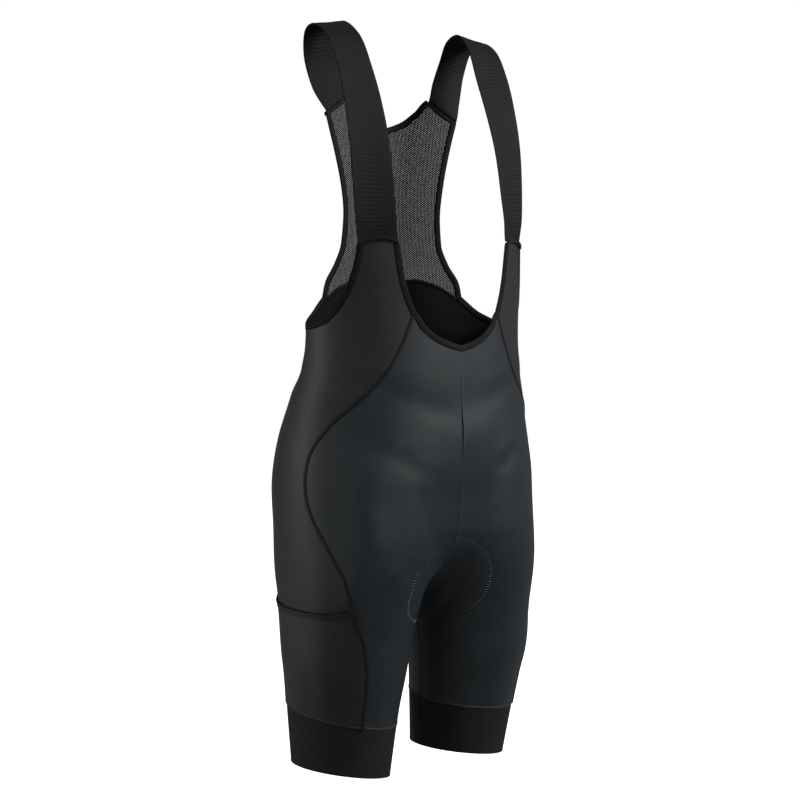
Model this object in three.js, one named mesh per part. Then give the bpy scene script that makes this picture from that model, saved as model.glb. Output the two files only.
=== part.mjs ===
// Cycling bib shorts, worn shape, open at neck, armholes and hems.
// Millimetres. The front faces -Y, the wearer's left is +X, up is +Z.
// The origin is where the shoulders hold the straps.
import * as THREE from 'three';

// Cloth, seams and trim
const PANEL_WALL = 2.0;
const MESH_WALL = 1.5;
const STRAP_WALL = 2.0;
const BAND_WALL = 2.2;
const POCKET_WALL = 1.2;
const HEM_WALL = 0.9;
const SEAM = 0.3;
const END_SEAM = 0.8;
const BINDING_WIDTH = 6.2;
const BINDING_PROUD = 0.5;
const RIB_HEIGHT = 0.5;
const STRAP_CROWN = 2.0;
const STRAP_CROWN_BACK = 0.5;

// Heights that rows of the shorts follow
const TOP = -336;
const WAIST = -400;
const THIGH = -700;
const BAND = -803;
const HEM = -866;

// Band seams and hems round each leg: height above the level, and how much higher at the inseam and at the front.
const BAND_EDGE = {
  right: { rise: 3, inseam: -12.2, front: -7.7 },
  left: { rise: -3.8, inseam: 7.8, front: -4.8 },
};
const HEM_EDGE = {
  right: { rise: -4, inseam: -12.2, front: 0.7 },
  left: { rise: -6.5, inseam: 9.8, front: 1 },
};

// The wearer's left leg is turned out: its seams move round it by this share of a turn.
const LEG_TURN = 0.105;
const TURN_TOP = -530;
const TURN_FOOT = -640;

// Grid densities
const FRONT_COLUMNS = 7;
const BACK_COLUMNS = 8;
const BAND_COLUMNS = 24;
const BAND_ROWS = 4;
const STRAP_RIBS = 82;
const STRAP_ACROSS = [0, 0.14, 0.5, 0.86, 1];

// Sections of the figure. Two mirrored ellipses stand at +-legX and blend into one another by 'blend':
// they coincide at the chest and part below the crotch.
const SECTIONS = [
  { z: -900, legX: 87, half: 56, front: 55, back: 57, midY: 0, blend: 0.05 },
  { z: -798, legX: 90, half: 66, front: 65, back: 67, midY: -10, blend: 0.05 },
  { z: -738, legX: 91, half: 73, front: 73, back: 75, midY: -17, blend: 0.1 },
  { z: -680, legX: 87, half: 79, front: 84, back: 86, midY: -17, blend: 0.3 },
  { z: -630, legX: 78, half: 91, front: 101, back: 94, midY: -13, blend: 0.7 },
  { z: -580, legX: 61, half: 109, front: 110, back: 96, midY: -9, blend: 1.0 },
  { z: -528, legX: 52, half: 118, front: 112, back: 99, midY: -6, blend: 1.0 },
  { z: -480, legX: 36, half: 129, front: 109, back: 96, midY: -8, blend: 0.7 },
  { z: -437, legX: 24, half: 133, front: 102, back: 85, midY: -14, blend: 0.4 },
  { z: -400, legX: 14, half: 136, front: 97, back: 64, midY: -20, blend: 0.2 },
  { z: -372, legX: 8, half: 138, front: 95, back: 53, midY: -22, blend: 0.1 },
  { z: -320, legX: 2, half: 145, front: 92, back: 50, midY: -24, blend: 0.02 },
  { z: -260, legX: 0, half: 149, front: 88, back: 50, midY: -28, blend: 0 },
  { z: -200, legX: 0, half: 150, front: 86, back: 50, midY: -30, blend: 0 },
  { z: -100, legX: 0, half: 150, front: 80, back: 57, midY: -30, blend: 0 },
  { z: -60, legX: 0, half: 150, front: 74, back: 60, midY: -30, blend: 0 },
];

// Seams: 'u' runs round half the body from 0 at the centre front (or inseam) to 1 at the centre back (or inseam).
const FRONT_SEAM = [
  { z: -806, u: 0.292 },
  { z: -766, u: 0.292 },
  { z: -734, u: 0.296 },
  { z: -706, u: 0.308 },
  { z: -668, u: 0.336 },
  { z: -646, u: 0.32 },
  { z: -630, u: 0.319 },
  { z: -610, u: 0.338 },
  { z: -588, u: 0.364 },
  { z: -562, u: 0.397 },
  { z: -540, u: 0.414 },
  { z: -520, u: 0.42 },
  { z: -502, u: 0.421 },
  { z: -484, u: 0.413 },
  { z: -470, u: 0.398 },
  { z: -452, u: 0.373 },
  { z: -434, u: 0.334 },
  { z: -414, u: 0.293 },
  { z: -392, u: 0.256 },
  { z: -370, u: 0.231 },
  { z: -350, u: 0.212 },
  { z: -336, u: 0.2 },
];
const BACK_SEAM = [
  { z: -806, u: 0.67 },
  { z: -730, u: 0.66 },
  { z: -666, u: 0.65 },
  { z: -620, u: 0.655 },
  { z: -560, u: 0.665 },
  { z: -500, u: 0.675 },
  { z: -440, u: 0.672 },
  { z: -400, u: 0.655 },
  { z: -370, u: 0.635 },
  { z: -350, u: 0.62 },
  { z: -336, u: 0.612 },
];

// Upper edge of the shorts: neckline, foot of the bib arm, underarm, foot of the mesh.
const TOP_EDGE = [
  { u: 0, z: -375 },
  { u: 0.05, z: -371 },
  { u: 0.105, z: -364 },
  { u: 0.165, z: -350 },
  { u: 0.2, z: -336 },
  { u: 0.318, z: -339 },
  { u: 0.435, z: -343 },
  { u: 0.47, z: -348 },
  { u: 0.512, z: -350 },
  { u: 0.56, z: -340 },
  { u: 0.612, z: -318 },
  { u: 0.652, z: -306 },
  { u: 0.7, z: -299 },
  { u: 0.77, z: -295 },
  { u: 0.86, z: -296 },
  { u: 1, z: -298 },
];

// Bib arm from its foot to the strap: neck side and armhole side.
const ARM = [
  { neckU: 0.2, neckZ: -336, armU: 0.435, armZ: -343 },
  { neckU: 0.23, neckZ: -314, armU: 0.402, armZ: -326 },
  { neckU: 0.25, neckZ: -293, armU: 0.376, armZ: -304 },
  { neckU: 0.264, neckZ: -270, armU: 0.361, armZ: -277 },
  { neckU: 0.274, neckZ: -250, armU: 0.354, armZ: -252 },
];
const ARM_ARCH = 3;
const FOOT_ROWS = 34;

// Mesh back: its armhole edge from the foot up, and its upper edge from the centre out.
const MESH_SIDE = [
  { t: 0, u: 0.612, z: -318 },
  { t: 0.09, u: 0.622, z: -300 },
  { t: 0.19, u: 0.655, z: -278 },
  { t: 0.31, u: 0.683, z: -252 },
  { t: 0.48, u: 0.691, z: -216 },
  { t: 0.62, u: 0.682, z: -184 },
  { t: 0.78, u: 0.669, z: -150 },
  { t: 0.92, u: 0.655, z: -118 },
  { t: 1, u: 0.645, z: -98 },
];
const MESH_TOP = [
  { s: 0, z: -119 },
  { s: 0.2, z: -115 },
  { s: 0.4, z: -109 },
  { s: 0.62, z: -96 },
  { s: 0.8, z: -80 },
  { s: 0.9, z: -89 },
  { s: 1, z: -98 },
];
const MESH_ACROSS = [0, 0.16, 0.32, 0.48, 0.64, 0.8, 0.85, 0.9, 0.95, 1];
const MESH_NECK_COLUMNS = 5;
const MESH_ROWS = 12;

// Strap edges over the shoulder, armhole side and neck side.
const STRAP = [
  { armX: 123, armY: -79, armZ: -205, neckX: 78, neckY: -95, neckZ: -205 },
  { armX: 125, armY: -73, armZ: -140, neckX: 77, neckY: -84, neckZ: -147 },
  { armX: 125, armY: -62, armZ: -90, neckX: 76, neckY: -70, neckZ: -104 },
  { armX: 125, armY: -48, armZ: -51, neckX: 76, neckY: -51, neckZ: -60 },
  { armX: 125.5, armY: -28, armZ: -19, neckX: 79, neckY: -29, neckZ: -17 },
  { armX: 126, armY: -4, armZ: -6, neckX: 83, neckY: -4, neckZ: 1 },
  { armX: 124, armY: 14, armZ: -11, neckX: 82, neckY: 13, neckZ: -5 },
  { armX: 119, armY: 24, armZ: -38, neckX: 77, neckY: 20, neckZ: -28 },
  { armX: 109, armY: 21, armZ: -74, neckX: 69, neckY: 24, neckZ: -55 },
];
const STRAP_FOOT = { armU: 0.367, armZ: -252.3, neckU: 0.261, neckZ: -249.7 };
const STRAP_BACK = { armU: 0.634, armZ: -100.5, neckU: 0.727, neckZ: -77 };

const CLOTH = { color: 0x262b2f, roughness: 0.72, metalness: 0 };
const SIDE_CLOTH = { color: 0x2a2b2f, roughness: 0.72, metalness: 0 };
const MESH_CLOTH = { color: 0x3c3c3a, roughness: 0.85, metalness: 0 };
const ELASTIC = { color: 0x1d1d1b, roughness: 0.9, metalness: 0 };
const BINDING = { color: 0x101011, roughness: 0.8, metalness: 0 };

const mix = (a, b, t) => a + (b - a) * t;

// Smooth curve through a table, with no overshoot between its rows.
function curve(table, key, value) {
  const xs = table.map((row) => row[key]);
  const ys = table.map((row) => row[value]);
  const steps = xs.slice(1).map((x, i) => (ys[i + 1] - ys[i]) / (x - xs[i]));
  const slopes = xs.map((x, i) => {
    if (i === 0) return steps[0];
    if (i === xs.length - 1) return steps[i - 1];
    const product = steps[i - 1] * steps[i];
    return product <= 0 ? 0 : (2 * product) / (steps[i - 1] + steps[i]);
  });
  return (at) => {
    const x = Math.min(Math.max(at, xs[0]), xs[xs.length - 1]);
    let i = 0;
    while (i < xs.length - 2 && x > xs[i + 1]) i += 1;
    const width = xs[i + 1] - xs[i];
    const t = (x - xs[i]) / width;
    const start = ys[i] * (1 + 2 * t) * (1 - t) ** 2 + slopes[i] * width * t * (1 - t) ** 2;
    return start + ys[i + 1] * t * t * (3 - 2 * t) + slopes[i + 1] * width * t * t * (t - 1);
  };
}

const sectionCurves = {};
for (const name of ['legX', 'half', 'front', 'back', 'midY', 'blend']) {
  sectionCurves[name] = curve(SECTIONS, 'z', name);
}
const frontSeam = curve(FRONT_SEAM, 'z', 'u');
const backSeam = curve(BACK_SEAM, 'z', 'u');
const topEdge = curve(TOP_EDGE, 'u', 'z');
const meshSideU = curve(MESH_SIDE, 't', 'u');
const meshSideZ = curve(MESH_SIDE, 't', 'z');
const meshTop = curve(MESH_TOP, 's', 'z');

function section(z) {
  const out = {};
  for (const name of Object.keys(sectionCurves)) out[name] = sectionCurves[name](z);
  return out;
}

// Below 0 inside the figure, above 0 outside it.
function field(x, y, z, given) {
  const s = given ?? section(z);
  const depth = ((y - s.midY) / (y < s.midY ? s.front : s.back)) ** 2 - 1;
  const own = ((x - s.legX) / s.half) ** 2 + depth;
  const other = ((x + s.legX) / s.half) ** 2 + depth;
  if (s.blend < 1e-6) return Math.min(own, other);
  const near = Math.max(s.blend - Math.abs(own - other), 0) / s.blend;
  return Math.min(own, other) - (near * near * s.blend) / 4;
}

// Above 0 where the two legs are one body at x = 0.
function joined(s) {
  return 1 + s.blend / 4 - (s.legX / s.half) ** 2;
}

function bisect(low, high, above) {
  let a = low;
  let b = high;
  for (let i = 0; i < 50; i += 1) {
    const middle = (a + b) / 2;
    if (above(middle)) b = middle;
    else a = middle;
  }
  return b;
}

const CROTCH = bisect(-760, -500, (z) => joined(section(z)) > 0);

// A point of the wearer's left half, x at or above 0.
function surface(u, z) {
  const s = section(z);
  const open = Math.sqrt(Math.max(joined(s), 0));
  const first = Math.atan2(-s.legX, s.front * open);
  const last = Math.PI + Math.atan2(s.legX, s.back * open);
  const angle = mix(first, last, u);
  const dx = Math.sin(angle);
  const dy = -Math.cos(angle);
  const reach = bisect(0, 260, (t) => {
    const x = s.legX + dx * t;
    return x < 0 || field(x, s.midY + dy * t, z, s) > 0;
  });
  return new THREE.Vector3(Math.max(s.legX + dx * reach, 0), s.midY + dy * reach, z);
}

function outward(p) {
  const e = 0.5;
  return new THREE.Vector3(
    field(p.x + e, p.y, p.z) - field(p.x - e, p.y, p.z),
    field(p.x, p.y + e, p.z) - field(p.x, p.y - e, p.z),
    field(p.x, p.y, p.z + e) - field(p.x, p.y, p.z - e),
  ).normalize();
}

// A vertex of a sheet: a point on the outer face and the way out. side is 1 for the wearer's left, -1 for the right.
function onFigure(u, z, side) {
  const p = surface(u, z);
  const n = outward(p);
  p.x *= side;
  n.x *= side;
  return { p, n };
}

// Rows of the shorts from the top edge to the leg bands, close together at the crotch.
const LEVELS = [TOP, -350, -366, -383, WAIST, -420, -440, -460, -480, -500, -521, -543, -566, -590];
const ABOVE_CROTCH = 6;
const BELOW_CROTCH = 4;
for (let i = ABOVE_CROTCH - 1; i >= 0; i -= 1) {
  LEVELS.push(CROTCH + (-590 - CROTCH) * (i / ABOVE_CROTCH) ** 2);
}
const POCKET_ROW = LEVELS.length - 1;
for (let i = 1; i <= BELOW_CROTCH; i += 1) {
  LEVELS.push(CROTCH + (THIGH - CROTCH) * (i / BELOW_CROTCH) ** 2);
}
LEVELS.push(-720, -741, -762, -783, BAND);

const smoothStep = (t) => t * t * (3 - 2 * t);

// Height of a band seam or hem at u.
function legEdge(level, edge, u, side) {
  const { rise, inseam, front } = side === 1 ? edge.left : edge.right;
  const turn = 2 * Math.PI * u;
  return level + rise + inseam * Math.cos(turn) + front * Math.sin(turn);
}

// How far a leg's seams are moved round it at a height.
function legTurn(level, side) {
  if (side === -1) return 0;
  const share = (TURN_TOP - level) / (TURN_TOP - TURN_FOOT);
  return LEG_TURN * smoothStep(Math.min(Math.max(share, 0), 1));
}

// Height of a row at u: it follows the top edge above the waist and the band seam below mid thigh.
function rowHeight(level, u, side) {
  if (level > WAIST) {
    const foot = topEdge(u) - SEAM / 2;
    return mix(foot, WAIST, (TOP - level) / (TOP - WAIST));
  }
  if (level < THIGH) {
    const share = (THIGH - level) / (THIGH - BAND);
    return mix(level, level + legEdge(BAND, BAND_EDGE, u, side) + SEAM / 2 - BAND, smoothStep(share));
  }
  return level;
}

// Turns a sheet of vertices and four-sided faces into a closed wall, from 'high' above the sheet to 'low' below.
// A vertex with 'raised' stands out that much more on the outer face.
function wall(vertices, faces, high, low) {
  const outer = vertices.map((v) => v.p.clone().addScaledVector(v.n, high + (v.raised ?? 0)));
  const inner = vertices.map((v) => v.p.clone().addScaledVector(v.n, low));
  const count = vertices.length;
  const triangles = [];
  const edges = new Map();
  const quad = (a, b, c, d) => triangles.push(a, b, c, a, c, d);
  for (const face of faces) {
    const [a0, b0, c0, d0] = face;
    const [a1, b1, c1, d1] = face.map((i) => i + count);
    quad(a0, b0, c0, d0);
    triangles.push(a1, c1, b1, a1, d1, c1);
    face.forEach((a, k) => {
      const b = face[(k + 1) % face.length];
      if (edges.has(`${b} ${a}`)) edges.delete(`${b} ${a}`);
      else edges.set(`${a} ${b}`, [a, b]);
    });
  }
  for (const [a, b] of edges.values()) quad(b, a, a + count, b + count);
  const geometry = new THREE.BufferGeometry();
  const positions = [...outer, ...inner].flatMap((p) => [p.x, p.y, p.z]);
  geometry.setAttribute('position', new THREE.Float32BufferAttribute(positions, 3));
  geometry.setIndex(triangles);
  return outwardFaces(geometry);
}

// Turns the faces round where the body came out inside out.
function outwardFaces(geometry) {
  const position = geometry.getAttribute('position');
  const index = geometry.getIndex();
  const corners = [new THREE.Vector3(), new THREE.Vector3(), new THREE.Vector3()];
  let volume = 0;
  for (let i = 0; i < index.count; i += 3) {
    corners.forEach((corner, k) => corner.fromBufferAttribute(position, index.getX(i + k)));
    volume += corners[0].dot(corners[1].clone().cross(corners[2]));
  }
  if (volume < 0) {
    for (let i = 0; i < index.count; i += 3) {
      const second = index.getX(i + 1);
      index.setX(i + 1, index.getX(i + 2));
      index.setX(i + 2, second);
    }
  }
  geometry.computeVertexNormals();
  return geometry;
}

// Faces between rows of vertex numbers; 'ring' closes each row on itself.
function gridFaces(rows, ring = false) {
  const faces = [];
  for (let j = 0; j + 1 < rows.length; j += 1) {
    const across = ring ? rows[j].length : rows[j].length - 1;
    for (let i = 0; i < across; i += 1) {
      const k = (i + 1) % rows[j].length;
      faces.push([rows[j][i], rows[j][k], rows[j + 1][k], rows[j + 1][i]]);
    }
  }
  return faces;
}

const numberRows = (rows) => {
  let next = 0;
  return rows.map((row) => row.map(() => next++));
};

const root = new THREE.Group();

function add(name, geometry, finish) {
  const mesh = new THREE.Mesh(geometry, new THREE.MeshStandardMaterial(finish));
  mesh.name = name;
  root.add(mesh);
}

function addSheet(name, rows, high, low, finish, ring = false) {
  add(name, wall(rows.flat(), gridFaces(numberRows(rows), ring), high, low), finish);
}

// Share of a turn that half a seam's gap takes up.
const SEAM_U = SEAM / 2 / 330;
const even = (count) => Array.from({ length: count + 1 }, (_, i) => i / count);

// Rows of a panel of the shorts between two seams.
function panelRows(side, across, left, right, levels = LEVELS) {
  return levels.map((level) => across.map((s) => {
    const u = mix(left(level), right(level), s);
    return onFigure(u, rowHeight(level, u, side), side);
  }));
}

const centreGap = (rows, column, side) => {
  for (const row of rows) {
    const p = row[column].p;
    if (Math.abs(p.x) < SEAM / 2) p.x = (side * SEAM) / 2;
  }
  return rows;
};

// The inseam below the crotch, where front and back meet.
const inseamGap = (level) => (level <= CROTCH + 1e-6 ? SEAM_U : 0);
const atFrontSeam = (side, gap) => (level) => frontSeam(level) + legTurn(level, side) + gap;
const atBackSeam = (side, gap) => (level) => backSeam(level) + legTurn(level, side) + gap;

// The side panel's columns: four under the bib arm, four more round the underarm.
const ARM_FOOT = (0.435 - 0.2) / (0.612 - 0.2);
const SIDE_ACROSS = [0, 0.25, 0.5, 0.75, 1].map((s) => s * ARM_FOOT);
for (const s of [0.25, 0.5, 0.75, 1]) SIDE_ACROSS.push(mix(ARM_FOOT, 1, s));
const ARM_COLUMNS = 4;

function armRows(side) {
  return ARM.slice(1).map((row, j) => even(ARM_COLUMNS).map((s) => {
    const arch = j === ARM.length - 2 ? ARM_ARCH * Math.sin(Math.PI * s) : 0;
    return onFigure(mix(row.neckU, row.armU, s), mix(row.neckZ, row.armZ, s) + arch, side);
  }));
}

function sideRows(side) {
  return panelRows(side, SIDE_ACROSS, atFrontSeam(side, SEAM_U), atBackSeam(side, -SEAM_U));
}

function sidePanel(side) {
  const lower = sideRows(side);
  const arm = armRows(side);
  const numbers = numberRows(lower);
  let next = lower.flat().length;
  const armNumbers = [numbers[0].slice(0, ARM_COLUMNS + 1)];
  for (const row of arm) armNumbers.push(row.map(() => next++));
  const faces = [...gridFaces(numbers), ...gridFaces(armNumbers.reverse())];
  return wall([...lower.flat(), ...arm.flat()], faces, 0, -PANEL_WALL);
}

function meshHalf(side) {
  const rows = [];
  for (let j = MESH_ROWS; j >= 0; j -= 1) {
    const t = j / MESH_ROWS;
    rows.push(MESH_ACROSS.map((s) => {
      const u = 1 - (1 - meshSideU(t)) * s;
      const foot = topEdge(1 - (1 - meshSideU(0)) * s) + SEAM / 2;
      const head = meshTop(s);
      const sideShare = (meshSideZ(t) - meshSideZ(0)) / (meshSideZ(1) - meshSideZ(0));
      return onFigure(u, mix(foot, head, mix(t, sideShare, s * s)), side);
    }));
  }
  return rows;
}

// A strap as rows across it, from its foot on the bib arm over the shoulder to the mesh. Every second row is a rib.
function strapRows(side) {
  const corner = (u, z) => surface(u, z);
  const armEdge = new THREE.CatmullRomCurve3([
    corner(STRAP_FOOT.armU, STRAP_FOOT.armZ),
    ...STRAP.map((row) => new THREE.Vector3(row.armX, row.armY, row.armZ)),
    corner(STRAP_BACK.armU, STRAP_BACK.armZ),
  ]);
  const neckEdge = new THREE.CatmullRomCurve3([
    corner(STRAP_FOOT.neckU, STRAP_FOOT.neckZ),
    ...STRAP.map((row) => new THREE.Vector3(row.neckX, row.neckY, row.neckZ)),
    corner(STRAP_BACK.neckU, STRAP_BACK.neckZ),
  ]);
  return even(2 * STRAP_RIBS).map((t, row) => {
    const a = armEdge.getPoint(t);
    const b = neckEdge.getPoint(t);
    const along = armEdge.getTangent(t).add(neckEdge.getTangent(t)).normalize();
    const out = b.clone().sub(a).cross(along).normalize();
    const foot = ARM_ARCH * Math.max(1 - t * FOOT_ROWS, 0);
    const seam = END_SEAM * Math.max(1 - t * FOOT_ROWS, t * FOOT_ROWS - FOOT_ROWS + 1, 0);
    return STRAP_ACROSS.map((s) => {
      const bow = Math.sin(Math.PI * s);
      const p = a.clone().lerp(b, s).addScaledVector(out, mix(STRAP_CROWN, STRAP_CROWN_BACK, t) * bow);
      p.z += foot * bow + seam;
      const n = out.clone();
      p.x *= side;
      n.x *= side;
      const raised = row % 2 === 1 && s > 0 && s < 1 ? RIB_HEIGHT : 0;
      return { p, n, raised };
    });
  });
}

// A binding beside the edge that a line of vertices makes. 'turn' picks the side of the line that it lies on,
// and its two ends follow the rows that end there.
function binding(line, turn, firstAway, lastAway) {
  const rows = line.map((v, i) => {
    const before = line[Math.max(i - 1, 0)].p;
    const after = line[Math.min(i + 1, line.length - 1)].p;
    let away = after.clone().sub(before).cross(v.n).multiplyScalar(turn);
    if (i === 0) away = firstAway;
    if (i === line.length - 1) away = lastAway;
    away.normalize();
    return [SEAM, SEAM + BINDING_WIDTH].map((d) => ({ p: v.p.clone().addScaledVector(away, d), n: v.n }));
  });
  return wall(rows.flat(), gridFaces(numberRows(rows)), BINDING_PROUD, -PANEL_WALL - BINDING_PROUD);
}

const step = (from, to) => to.p.clone().sub(from.p);
const last = (list) => list[list.length - 1];

const halves = [
  { side: -1, word: 'right' },
  { side: 1, word: 'left' },
];

for (const { side, word } of halves) {
  const frontRows = panelRows(side, even(FRONT_COLUMNS), inseamGap, atFrontSeam(side, -SEAM_U));
  const backRows = panelRows(side, even(BACK_COLUMNS), atBackSeam(side, SEAM_U), (level) => 1 - inseamGap(level));
  const front = centreGap(frontRows, 0, side);
  const back = centreGap(backRows, BACK_COLUMNS, side);
  addSheet(`front_${word}`, front, 0, -PANEL_WALL, CLOTH);
  addSheet(`back_${word}`, back, 0, -PANEL_WALL, CLOTH);
  add(`side_${word}`, sidePanel(side), SIDE_CLOTH);
}

for (const { side, word } of halves) {
  const band = even(BAND_ROWS).map((t) => even(BAND_COLUMNS).slice(1).map((u) => {
    const z = mix(legEdge(BAND, BAND_EDGE, u, side) - SEAM / 2, legEdge(HEM, HEM_EDGE, u, side), t);
    return onFigure(u, z, side);
  }));
  addSheet(`band_${word}`, band, 0, -BAND_WALL, ELASTIC, true);

  const pocket = sideRows(side).slice(POCKET_ROW);
  addSheet(`pocket_${word}`, pocket, SEAM + POCKET_WALL, SEAM, SIDE_CLOTH);
  const hemLow = 2 * SEAM + POCKET_WALL;
  addSheet(`pocket_hem_${word}`, pocket.slice(0, 3), hemLow + HEM_WALL, hemLow, BINDING);

  addSheet(`strap_${word}`, strapRows(side), 0, -STRAP_WALL, ELASTIC);
}

const meshLeft = meshHalf(1);
const meshRight = meshHalf(-1);
const meshRows = meshLeft.map((row, j) => [...row.slice(1).reverse(), ...meshRight[j]]);
addSheet('mesh_back', meshRows, 0, -MESH_WALL, MESH_CLOTH);

// Neck side of a bib arm from the strap down, and on along the front panel's upper edge to the centre.
function neckLine(side) {
  const arm = armRows(side).map((row) => row[0]);
  const top = panelRows(side, even(FRONT_COLUMNS), () => 0, frontSeam, [TOP])[0];
  return [...arm.reverse(), ...top.reverse()];
}

const rightNeck = neckLine(-1);
const leftNeck = neckLine(1).reverse().slice(1);
const rightArm = last(armRows(-1));
const leftArm = last(armRows(1));
const neckStart = step(rightArm[1], rightArm[0]);
const neckEnd = step(leftArm[1], leftArm[0]);
add('binding_neck_front', binding([...rightNeck, ...leftNeck], -1, neckStart, neckEnd), BINDING);

for (const { side, word } of halves) {
  const arm = armRows(side);
  const mesh = side === 1 ? meshLeft : meshRight;
  const down = arm.map((row) => last(row)).reverse();
  const under = sideRows(side)[0].slice(ARM_COLUMNS);
  const up = mesh.map((row) => last(row)).reverse().slice(1);
  const top = last(arm);
  const start = step(top[ARM_COLUMNS - 1], top[ARM_COLUMNS]);
  const end = step(mesh[0][mesh[0].length - 2], last(mesh[0]));
  add(`binding_arm_${word}`, binding([...down, ...under, ...up], -side, start, end), BINDING);
}

const rightTop = meshRight[0].slice(0, MESH_NECK_COLUMNS + 1);
const leftTop = meshLeft[0].slice(0, MESH_NECK_COLUMNS + 1);
const backStart = step(meshRight[0][MESH_NECK_COLUMNS + 1], last(rightTop));
const backEnd = step(meshLeft[0][MESH_NECK_COLUMNS + 1], last(leftTop));
const backLine = [...rightTop.slice(1).reverse(), ...leftTop];
add('binding_neck_back', binding(backLine, 1, backStart, backEnd), BINDING);

export default root;
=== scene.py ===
"""Cycling bib shorts in their worn shape: cloth, elastic, net, bindings, seams and sewing.

Tables are in millimetres. The front faces -Y, the wearer's left is +X, and the shoulders are at the origin.
'u' runs round half the body from 0 at the centre front (or inseam) to 1 at the centre back (or inseam).
"""
import math

import bpy
import numpy as np
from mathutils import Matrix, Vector


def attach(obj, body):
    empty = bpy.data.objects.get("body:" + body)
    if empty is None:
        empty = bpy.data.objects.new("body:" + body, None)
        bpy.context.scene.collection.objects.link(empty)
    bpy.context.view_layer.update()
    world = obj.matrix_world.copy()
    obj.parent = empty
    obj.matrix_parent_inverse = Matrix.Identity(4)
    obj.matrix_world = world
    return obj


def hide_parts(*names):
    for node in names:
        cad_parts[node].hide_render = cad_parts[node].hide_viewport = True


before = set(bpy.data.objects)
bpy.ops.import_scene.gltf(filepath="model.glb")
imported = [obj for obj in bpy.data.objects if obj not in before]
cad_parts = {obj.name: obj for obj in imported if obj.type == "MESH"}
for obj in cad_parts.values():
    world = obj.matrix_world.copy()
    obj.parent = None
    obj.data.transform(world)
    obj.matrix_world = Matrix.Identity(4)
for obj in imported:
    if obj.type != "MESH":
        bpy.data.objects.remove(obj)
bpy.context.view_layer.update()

MM = 0.001
PANEL_WALL = 1.5
BAND_WALL = 2.0
STRAP_WALL = 1.6
SEAM = 0.3
GIRTH = 420.0
AROUND = 95.0
SIDES = {"right": -1, "left": 1}


def table(columns, *rows):
    """Rows of numbers as one array for each named column."""
    return dict(zip(columns.split(), np.array(rows, float).T))


SECTIONS = table(
    "z leg_x half front back mid_y blend",
    (-900, 87, 56, 55, 57, 0, 0.05),
    (-798, 90, 66, 65, 67, -10, 0.05),
    (-738, 91, 73, 73, 75, -17, 0.1),
    (-680, 87, 79, 84, 86, -17, 0.3),
    (-630, 78, 91, 101, 94, -13, 0.7),
    (-580, 61, 109, 110, 96, -9, 1.0),
    (-528, 52, 118, 112, 99, -6, 1.0),
    (-480, 36, 129, 109, 96, -8, 0.7),
    (-437, 24, 133, 102, 85, -14, 0.4),
    (-400, 14, 136, 97, 64, -20, 0.2),
    (-372, 8, 138, 95, 53, -22, 0.1),
    (-320, 2, 145, 92, 50, -24, 0.02),
    (-260, 0, 149, 88, 50, -28, 0),
    (-200, 0, 150, 86, 50, -30, 0),
    (-100, 0, 150, 80, 57, -30, 0),
    (-60, 0, 150, 74, 60, -30, 0),
)
FRONT_SEAM = table(
    "z u",
    (-806, 0.292), (-766, 0.292), (-734, 0.296), (-706, 0.308), (-668, 0.336), (-646, 0.32), (-630, 0.319),
    (-610, 0.338), (-588, 0.364), (-562, 0.397), (-540, 0.414), (-520, 0.42), (-502, 0.421), (-484, 0.413),
    (-470, 0.398), (-452, 0.373), (-434, 0.334), (-414, 0.293), (-392, 0.256), (-370, 0.231), (-350, 0.212),
    (-336, 0.2),
)
BACK_SEAM = table(
    "z u",
    (-806, 0.67), (-730, 0.66), (-666, 0.65), (-620, 0.655), (-560, 0.665), (-500, 0.675), (-440, 0.672),
    (-400, 0.655), (-370, 0.635), (-350, 0.62), (-336, 0.612),
)
TOP_EDGE = table(
    "u z",
    (0, -375), (0.05, -371), (0.105, -364), (0.165, -350), (0.2, -336), (0.318, -339), (0.435, -343),
    (0.47, -348), (0.512, -350), (0.56, -340), (0.612, -318), (0.652, -306), (0.7, -299), (0.77, -295),
    (0.86, -296), (1, -298),
)
ARM = table(
    "t neck_u neck_z arm_u arm_z",
    (0, 0.2, -336, 0.435, -343),
    (0.25, 0.23, -314, 0.402, -326),
    (0.5, 0.25, -293, 0.376, -304),
    (0.75, 0.264, -270, 0.361, -277),
    (1, 0.274, -250, 0.354, -252),
)
ARM_ARCH = 3.0
MESH_SIDE = table(
    "t u z",
    (0, 0.612, -318), (0.09, 0.622, -300), (0.19, 0.655, -278), (0.31, 0.683, -252), (0.48, 0.691, -216),
    (0.62, 0.682, -184), (0.78, 0.669, -150), (0.92, 0.655, -118), (1, 0.645, -98),
)
MESH_TOP = table("s z", (0, -119), (0.2, -115), (0.4, -109), (0.62, -96), (0.8, -80), (0.9, -89), (1, -98))
MESH_NECK = 0.8
STRAP = table(
    "arm_x arm_y arm_z neck_x neck_y neck_z",
    (123, -79, -205, 78, -95, -205),
    (125, -73, -140, 77, -84, -147),
    (125, -62, -90, 76, -70, -104),
    (125, -48, -51, 76, -51, -60),
    (125.5, -28, -19, 79, -29, -17),
    (126, -4, -6, 83, -4, 1),
    (124, 14, -11, 82, 13, -5),
    (119, 24, -38, 77, 20, -28),
    (109, 21, -74, 69, 24, -55),
)
STRAP_FOOT = {"arm": (0.367, -252.3), "neck": (0.261, -249.7)}
STRAP_BACK = {"arm": (0.634, -100.5), "neck": (0.727, -77.0)}
TOP, WAIST, THIGH, BAND, HEM = -336.0, -400.0, -700.0, -803.0, -866.0

# Band seams and hems round each leg: height above the level, and how much higher at the inseam and at the front.
LEG_EDGES = {
    BAND: {-1: (3, -12.2, -7.7), 1: (-3.8, 7.8, -4.8)},
    HEM: {-1: (-4, -12.2, 0.7), 1: (-6.5, 9.8, 1)},
}

# The wearer's left leg is turned out: its seams move round it by this share of a turn.
LEG_TURN, TURN_TOP, TURN_FOOT = 0.105, -530.0, -640.0


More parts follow.
